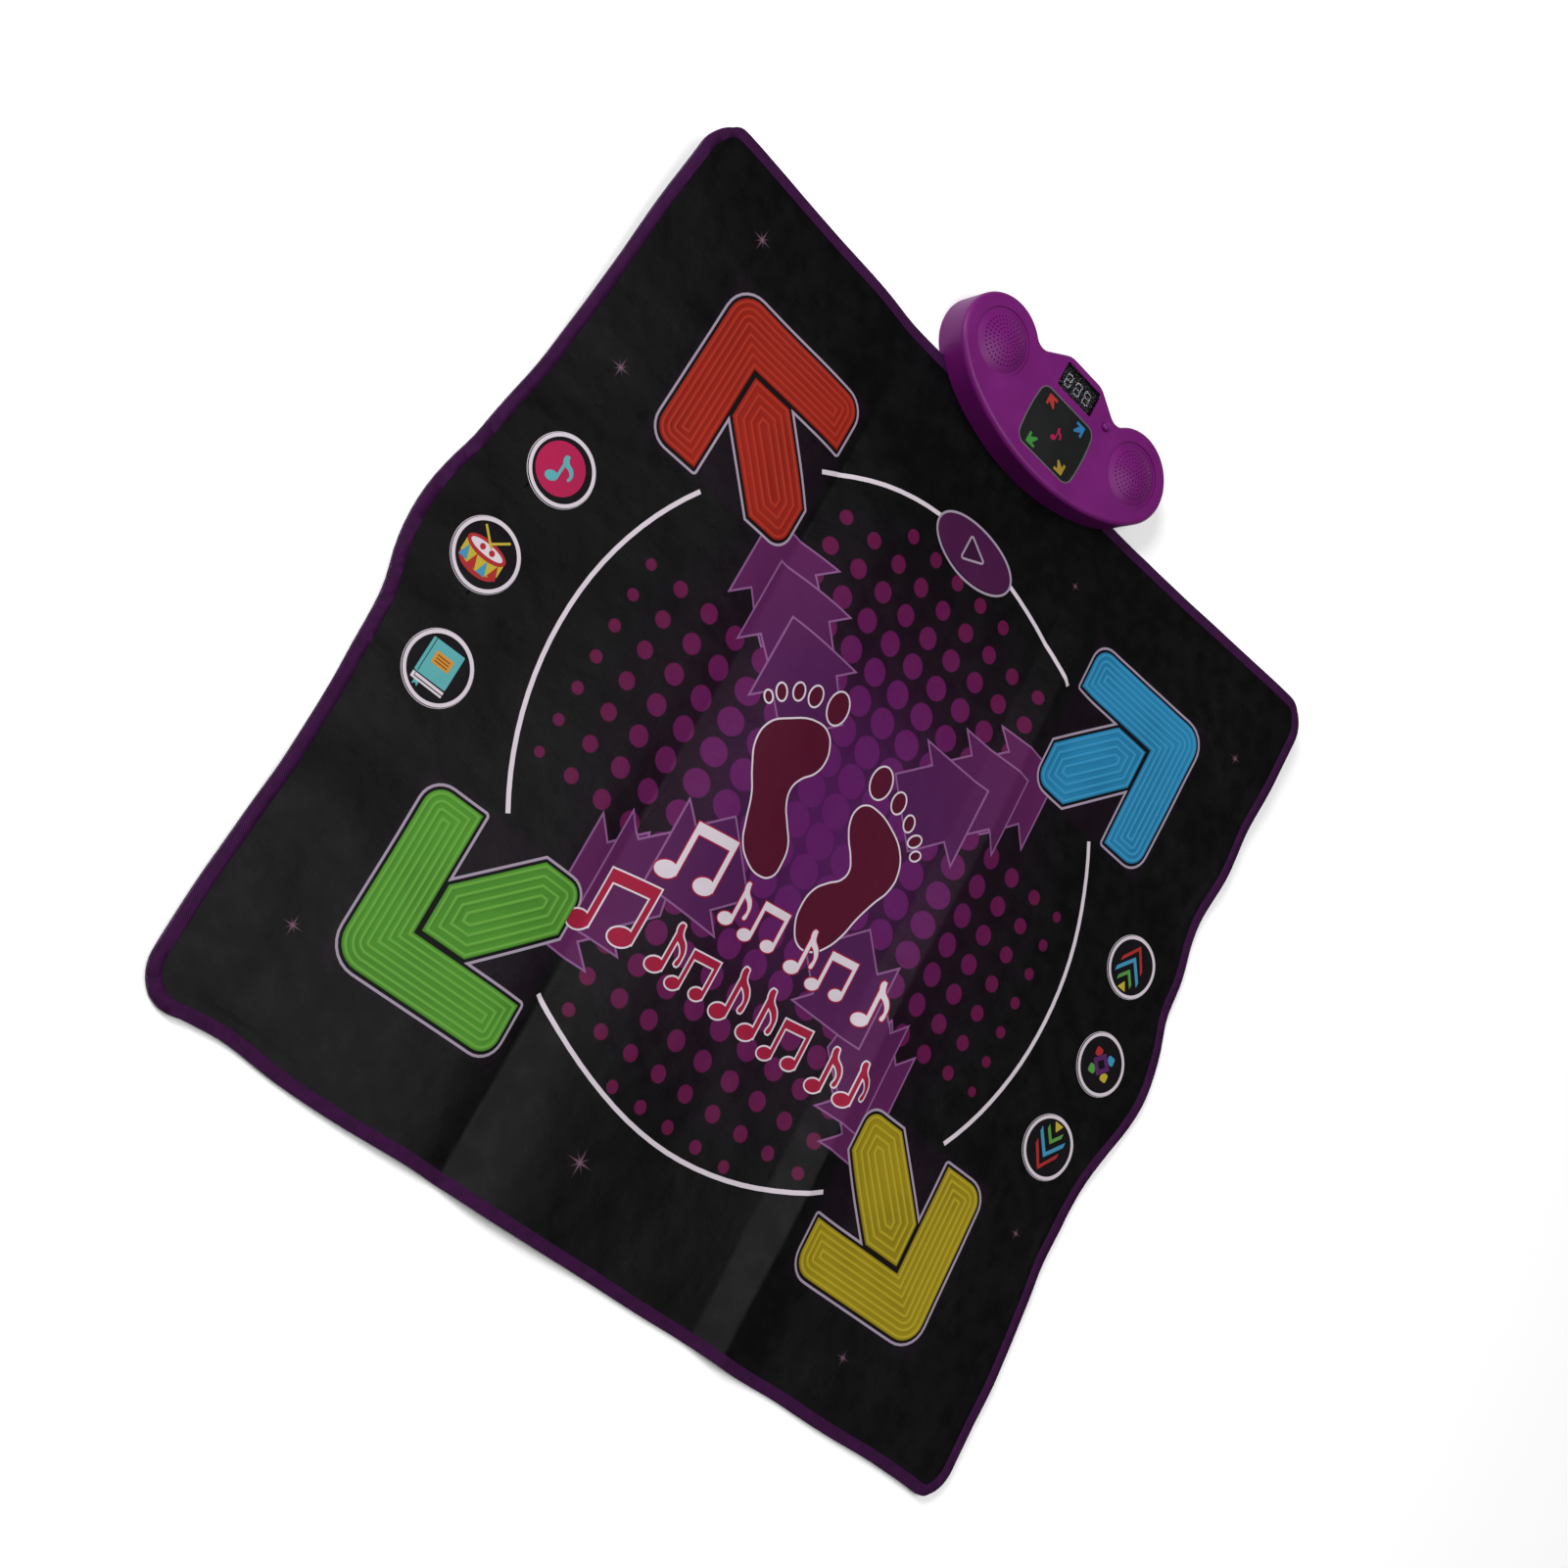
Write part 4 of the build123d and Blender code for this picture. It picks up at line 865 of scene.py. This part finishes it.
white_row = (
    (note_pair, -100, -122, 1.55), (single_note, -53, -128, 1.15), (note_pair, -6, -126, 1.1),
    (single_note, 36, -124, 1.2), (note_pair, 85, -122, 1.1), (single_note, 128, -124, 1.25),
)
red_row = (
    (note_pair, -146, -203, 1.6), (single_note, -94, -201, 1.25), (note_pair, -49, -202, 1.05),
    (single_note, -12, -199, 1.35), (single_note, 25, -199, 1.35), (note_pair, 74, -201, 1.1),
    (single_note, 116, -201, 1.2), (single_note, 148, -197, 1.2),
)


def notes(bm, row):
    for draw, x, y, size in row:
        draw(bm, x, y, size)


printed("white_notes", lambda bm: notes(bm, white_row), 6, white, crimson, 1.3 * mm, under=True)
printed("red_notes", lambda bm: notes(bm, red_row), 6, crimson, white, 1.6 * mm, under=True)

# ---- start pad ----
def middle_of(low, high):
    return ((low.x + high.x) / 2, (low.y + high.y) / 2)


def raised_pad(node_name, centre, half_width, half_height, rim, segments, finish, body):
    """An oval press pad with a rounded rim, in place of its CAD node."""
    low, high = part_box(node_name)
    bm = bmesh.new()
    oval(bm, centre, half_width, half_height, segments=segments)
    thicken(bm, low.z, high.z)
    rims = [e for e in bm.edges if e.calc_face_angle(0) > 1]
    bmesh.ops.bevel(bm, geom=rims, offset=rim, segments=3, profile=0.5, affect="EDGES", material=-1)
    pad = piece("laid_" + node_name, bm, finish, body)
    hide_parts(node_name)


start_low, start_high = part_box("start_pad")
start_middle = (0, (start_high.y + start_low.y) / 2)
start_ink = print_ink("start_ink", tint(74, 25, 70))
start_dark = print_ink("start_dark", tint(58, 20, 56))
half_height = (start_high.y - start_low.y) / 2
raised_pad(
    "start_pad", start_middle, start_high.x, half_height, 0.7 * mm, 72, start_ink, "start",
)
printed(
    "start_line", lambda bm: oval(bm, start_middle, 54.5 * mm, 26.5 * mm, segments=72), 4, black_ink, lilac,
    2.4 * mm,
)
triangle = [(-11 * mm, 334 * mm), (-11 * mm, 310 * mm), (14 * mm, 322 * mm)]
printed(
    "start_mark", lambda bm: cornered(bm, triangle, [2 * mm] * 3), 1, start_dark, lilac, 2.2 * mm,
    base=start_high.z, body="start", slot="start_print",
)


# ---- icon pads ----
icon_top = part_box("icon_pad_drum")[1].z
icon_radius = 32 * mm


def shape(bm, centre, corners, rounding=0.0, level=0.0):
    """A flat face from corners in millimetres round a centre."""
    points = [(centre[0] + x * mm, centre[1] + y * mm) for x, y in corners]
    cornered(bm, points, [rounding * mm] * len(points), level)


def spot(bm, centre, x, y, half_width, half_height, turn=0.0):
    oval(bm, (centre[0] + x * mm, centre[1] + y * mm), half_width * mm, half_height * mm, turn, 32)


def chevron(bm, centre, apex, reach, thick):
    """A bent stroke: reach is how far each arm's end is from the apex, sideways and up."""
    x, y = apex
    side, rise = reach
    corners = [(x - side, y + rise), (x, y), (x + side, y + rise)]
    corners += [(x + side, y + rise + thick), (x, y + thick), (x - side, y + rise + thick)]
    shape(bm, centre, corners, 0.8)


def note_art(bm, centre):
    spot(bm, centre, -6, -10, 6.5, 4.6, 24)
    shape(bm, centre, [(-2.6, -10), (0.2, -10), (0.2, 14), (-2.6, 14)], 0.4, overlap_step)
    tail = [(-2.6, 14), (2, 9), (8, 6), (11, 0), (8.5, -5), (8, 0), (4, 3.4), (-2.6, 5)]
    smooth_outline(bm, [(centre[0] / mm + x, centre[1] / mm + y) for x, y in tail])


def drum_triangles(bm, centre, offsets):
    for x, drop in offsets:
        shape(bm, centre, [(x - 4.6, -13 - drop), (x + 4.6, -13 - drop), (x, 0 - drop)])


def stick(bm, centre, top, foot, level):
    (ax, ay), (bx, by) = top, foot
    along = Vector((bx - ax, by - ay)).normalized()
    aside = Vector((-along.y, along.x)) * 1.1
    corners = [(ax + aside.x, ay + aside.y), (bx + aside.x, by + aside.y)]
    corners += [(bx - aside.x, by - aside.y), (ax - aside.x, ay - aside.y)]
    shape(bm, centre, corners, 0.6, level)


def drum_sticks(bm, centre):
    stick(bm, centre, (-14, 21.5), (1, 6.5), 0.0)
    stick(bm, centre, (13, 21.5), (-2, 9.5), overlap_step)


def drum_beads(bm, centre):
    spot(bm, centre, -6.5, 3.8, 2.8, 2.8)
    spot(bm, centre, 3.5, 3.8, 2.8, 2.8)


def book_lines(bm, centre):
    for y in (3.4, 6.2, 9.0):
        shape(bm, centre, [(-6.5, y - 0.5), (6.5, y - 0.5), (6.5, y + 0.5), (-6.5, y + 0.5)])


def book_ribbon(bm, centre):
    shape(bm, centre, [(-13, -18), (-13, -24), (-10.5, -21.5), (-8, -24), (-8, -18)])


def book_pages(bm, centre):
    shape(bm, centre, [(-17.5, -14), (-17.5, -19.5), (15, -19.5), (15, -17.6), (-15, -17.6), (-15, -14)])
    shape(bm, centre, [(-14.4, -16.6), (15, -16.6), (15, -14), (-14.4, -14)])


def diamond(bm, centre):
    corners = [(0, 13), (13, 0), (0, -13), (-13, 0)]
    shape(bm, centre, corners, 1.5)


def corner_piece(bm, centre, way):
    x, y = way
    corners = [(5 * x, 14 * y), (14 * x, 14 * y), (14 * x, 5 * y), (9 * x, 4.5 * y), (4.5 * x, 9 * y)]
    shape(bm, centre, corners, 2.2)


teal = print_ink("teal_ink", tint(96, 178, 182))
orange = print_ink("orange_ink", tint(214, 150, 60))
brown = print_ink("brown_ink", tint(120, 62, 20))
sun = print_ink("yellow_ink", tint(200, 178, 60))
sky = print_ink("sky_ink", tint(70, 152, 190))
leaf = print_ink("leaf_ink", tint(92, 156, 76))
rose = print_ink("rose_ink", tint(178, 48, 48))
violet = print_ink("violet_ink", tint(92, 40, 100))
pink = print_ink("pink_ink", tint(184, 34, 84))
icon_art = {
    "wing": (
        (pink, lambda bm, c: spot(bm, c, -2, 0, 24, 24)),
        (teal, note_art),
    ),
    "drum": (
        (rose, lambda bm, c: spot(bm, c, -2, -11.5, 20, 10)),
        (sun, lambda bm, c: shape(
            bm, c, [(-22, 2), (18, 2), (18, -10), (10, -15.5), (-2, -17.5), (-14, -15.5), (-22, -10)]
        )),
        (rose, lambda bm, c: drum_triangles(bm, c, ((-7, 4), (14, 1.5)))),
        (sky, lambda bm, c: drum_triangles(bm, c, ((-17, 1.5), (4, 4.5)))),
        (rose, lambda bm, c: spot(bm, c, -2, 3.5, 20.5, 8.4)),
        (white, lambda bm, c: spot(bm, c, -2, 3.8, 17, 5)),
        (rose, drum_beads),
        (sun, drum_sticks),
    ),
    "book": (
        (teal, book_ribbon),
        (white, book_pages),
        (teal, lambda bm, c: shape(bm, c, [(-17.5, -13), (-17.5, 20), (15, 21), (15, -12.5)], 1.2)),
        (black_ink, lambda bm, c: shape(bm, c, [(-14.6, -12), (-13.9, -12), (-13.9, 20), (-14.6, 20)])),
        (orange, lambda bm, c: shape(bm, c, [(-9, 0.5), (9, 0.5), (9, 12), (-9, 12)], 1.5)),
        (brown, book_lines),
    ),
    "faster": (
        (rose, lambda bm, c: chevron(bm, c, (-1, 19), (16, -21), 5.5)),
        (sky, lambda bm, c: chevron(bm, c, (-1, 5.5), (17.5, -20), 6)),
        (leaf, lambda bm, c: chevron(bm, c, (-1, -8.5), (10.5, -12), 5.5)),
        (sun, lambda bm, c: shape(bm, c, [(-6.5, -26), (5.5, -26), (-0.5, -16.5)], 1.2)),
    ),
    "players": (
        (violet, diamond),
        (black_ink, lambda bm, c: shape(bm, c, [(0, 6), (6, 0), (0, -6), (-6, 0)], 0.8)),
        (rose, lambda bm, c: corner_piece(bm, c, (-1, 1))),
        (sky, lambda bm, c: corner_piece(bm, c, (1, 1))),
        (leaf, lambda bm, c: corner_piece(bm, c, (-1, -1))),
        (sun, lambda bm, c: corner_piece(bm, c, (1, -1))),
    ),
    "slower": (
        (rose, lambda bm, c: chevron(bm, c, (-1, -25), (16, 21), 5.5)),
        (sky, lambda bm, c: chevron(bm, c, (-1, -11.5), (17.5, 20), 6)),
        (leaf, lambda bm, c: chevron(bm, c, (-1, 3), (10.5, 12), 5.5)),
        (sun, lambda bm, c: shape(bm, c, [(-6.5, 26), (5.5, 26), (-0.5, 16.5)], 1.2)),
    ),
}
icon_cloth = print_ink("icon_cloth", tint(20, 17, 21))
for icon, layers_of_art in icon_art.items():
    centre = middle_of(*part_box("icon_pad_" + icon))
    body = "icon_" + icon
    raised_pad(
        "icon_pad_" + icon, centre, icon_radius, icon_radius, 0.6 * mm, 64, icon_cloth, body,
    )
    on_pad = {"base": icon_top, "body": body, "slot": "icon_print"}
    printed(
        f"icon_{icon}_ring", lambda bm: oval(bm, centre, 28.7 * mm, 28.7 * mm, segments=64), 1, None, white,
        3.3 * mm, **on_pad
    )
    printed(
        f"icon_{icon}_edge", lambda bm: oval(bm, centre, 32.45 * mm, 32.45 * mm, segments=64), 1, None, white,
        0.6 * mm
    )
    for coat, (finish, draw) in enumerate(layers_of_art, 1):
        printed(f"icon_{icon}_art_{coat}", lambda bm: draw(bm, centre), coat, finish, **on_pad)


# ---- the console and what is inside it ----
def finish_nodes(finish, *names):
    for name in names:
        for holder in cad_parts[name].material_slots:
            holder.material = finish


purple = moulded_plastic("purple_plastic", tint(116, 22, 112), 0.42, Specular_IOR_Level=0.16)
finish_nodes(
    purple, "console_top_shell", "console_bottom_shell", "speaker_grille_left", "speaker_grille_right",
    "battery_door", "power_button",
)
finish_nodes(moulded_plastic("panel_plastic", tint(19, 20, 21), 0.3, Specular_IOR_Level=0.3), "arrow_panel")
finish_nodes(moulded_plastic("silver_paint", tint(128, 122, 128), 0.4, metallic=0.6), "panel_frame")
guide_colours = {
    "red": tint(176, 34, 22),
    "blue": tint(30, 120, 180),
    "green": tint(42, 132, 40),
    "yellow": tint(168, 136, 24),
}
lamp_resin = moulded_plastic("lamp_resin", tint(206, 206, 198), 0.25)
for colour, shade in guide_colours.items():
    finish_nodes(moulded_plastic(colour + "_guide_plastic", shade, 0.4), "light_guide_" + colour)
    finish_nodes(lamp_resin, "lamp_" + colour)
plain_plastics = (
    ("module_plastic", tint(22, 22, 23), 0.55, ("display_module",)),
    ("digit_plastic", tint(205, 205, 208), 0.5, ("display_digits",)),
    ("board_resin", tint(34, 96, 52), 0.4, ("main_board",)),
    ("chip_resin", tint(26, 26, 27), 0.6, ("control_chip", "power_switch")),
    ("connector_resin", tint(206, 202, 190), 0.45, ("tail_connector",)),
    ("speaker_cone", tint(40, 40, 42), 0.7, ("speaker_left", "speaker_right")),
    ("lead_rubber", tint(26, 26, 27), 0.6, ("speaker_lead_left", "speaker_lead_right")),
    ("plate_plastic", tint(52, 52, 54), 0.6, ("mounting_plate",)),
    ("tail_film", tint(120, 112, 96), 0.35, ("film_tail",)),
)
for name, colour, roughness, nodes in plain_plastics:
    finish_nodes(moulded_plastic(name, colour, roughness), *nodes)
finish_nodes(
    moulded_plastic("cell_paint", tint(60, 62, 68), 0.3, metallic=0.4),
    "battery_cell_1", "battery_cell_2", "battery_cell_3",
)
finish_nodes(
    brushed_metal("spring_metal", tint(190, 188, 180)), "battery_contacts_left", "battery_contacts_right",
)
finish_nodes(
    brushed_metal("screw_metal", tint(176, 176, 178)), "case_screws", "mat_screws", "board_screws",
    "door_screw",
)
panel_low, panel_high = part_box("arrow_panel")
panel_x, panel_y = middle_of(panel_low, panel_high)
panel_middle = (panel_x + 1 * mm, panel_y)


def panel_note(bm):
    """A small note in the middle of the panel."""
    spot(bm, panel_middle, -2.4, -4.5, 3.6, 2.6, 24)
    shape(bm, panel_middle, [(-0.4, -4.5), (1.0, -4.5), (1.0, 8.5), (-0.4, 8.5)], 0.2, overlap_step)
    tail = [(-0.4, 8.5), (2, 5.5), (5, 4), (6.5, 0.5), (5, -2), (4.8, 0.5), (2.5, 2.4), (-0.4, 3.2)]
    smooth_outline(bm, [(panel_middle[0] / mm + x, panel_middle[1] / mm + y) for x, y in tail])


printed("panel_note", panel_note, 1, pink, base=panel_high.z, slot="red_guide")
smoked = moulded_plastic(
    "smoked_plastic", (0.62, 0.62, 0.65, 1.0), 0.12, IOR=1.2, Transmission_Weight=1.0, Specular_IOR_Level=0.3
)
finish_nodes(smoked, "display_lens")


# ---- camera, light and floor ----
eye_place = (-0.9834, -0.6710, 1.6119)
eye_turns = (53.55, 54.49, 87.625)    # degrees: which way it looks, how far down, and its roll


def camera():
    """The eye, above the mat's near left side, turned almost a quarter on its own line of sight."""
    azimuth, elevation, roll = (math.radians(a) for a in eye_turns)
    level = math.cos(elevation)
    ahead = Vector((math.sin(azimuth) * level, math.cos(azimuth) * level, -math.sin(elevation)))
    side = ahead.cross(Vector((0, 0, 1))).normalized()
    over = side.cross(ahead)
    right = side * math.cos(roll) + over * math.sin(roll)
    top = over * math.cos(roll) - side * math.sin(roll)
    data = bpy.data.cameras.new("eye")
    data.lens = 50.05
    data.sensor_width = 36.0
    made = bpy.data.objects.new("eye", data)
    turned = Matrix((right, top, -ahead)).transposed().to_4x4()
    made.matrix_world = Matrix.Translation(eye_place) @ turned
    bpy.context.scene.collection.objects.link(made)
    bpy.context.scene.camera = made


def soft_light(name, place, aim, size, power):
    data = bpy.data.lights.new(name, "AREA")
    data.shape = "DISK"
    data.size = size
    data.energy = power
    made = bpy.data.objects.new(name, data)
    made.location = place
    made.rotation_euler = (Vector(aim) - Vector(place)).to_track_quat("-Z", "Y").to_euler()
    bpy.context.scene.collection.objects.link(made)


def studio():
    bm = bmesh.new()
    level = Matrix.Translation((0, 0, floor_top))
    bmesh.ops.create_grid(bm, x_segments=1, y_segments=1, size=6.0, matrix=level)
    mesh = bpy.data.meshes.new("floor")
    bm.to_mesh(mesh)
    bm.free()
    floor = bpy.data.objects.new("floor", mesh)
    bpy.context.scene.collection.objects.link(floor)
    pale, _, shader = new_finish("pale_floor", 0.9, Specular_IOR_Level=0.1)
    shader.inputs["Base Color"].default_value = (0.9, 0.9, 0.9, 1.0)
    mesh.materials.append(pale)
    world = bpy.data.worlds.new("room")
    world.use_nodes = True
    background = world.node_tree.nodes["Background"]
    background.inputs["Color"].default_value = (1.0, 1.0, 1.0, 1.0)
    background.inputs["Strength"].default_value = 0.2
    bpy.context.scene.world = world
    soft_light("window", (-2.6, 0.7, 1.9), (0, 0, 0), 1.5, 108.0)
    soft_light("ceiling", (0.6, 0.0, 4.6), (0.3, -0.1, 0), 3.4, 158.0)
    bpy.context.scene.view_settings.view_transform = "Standard"


camera()
studio()
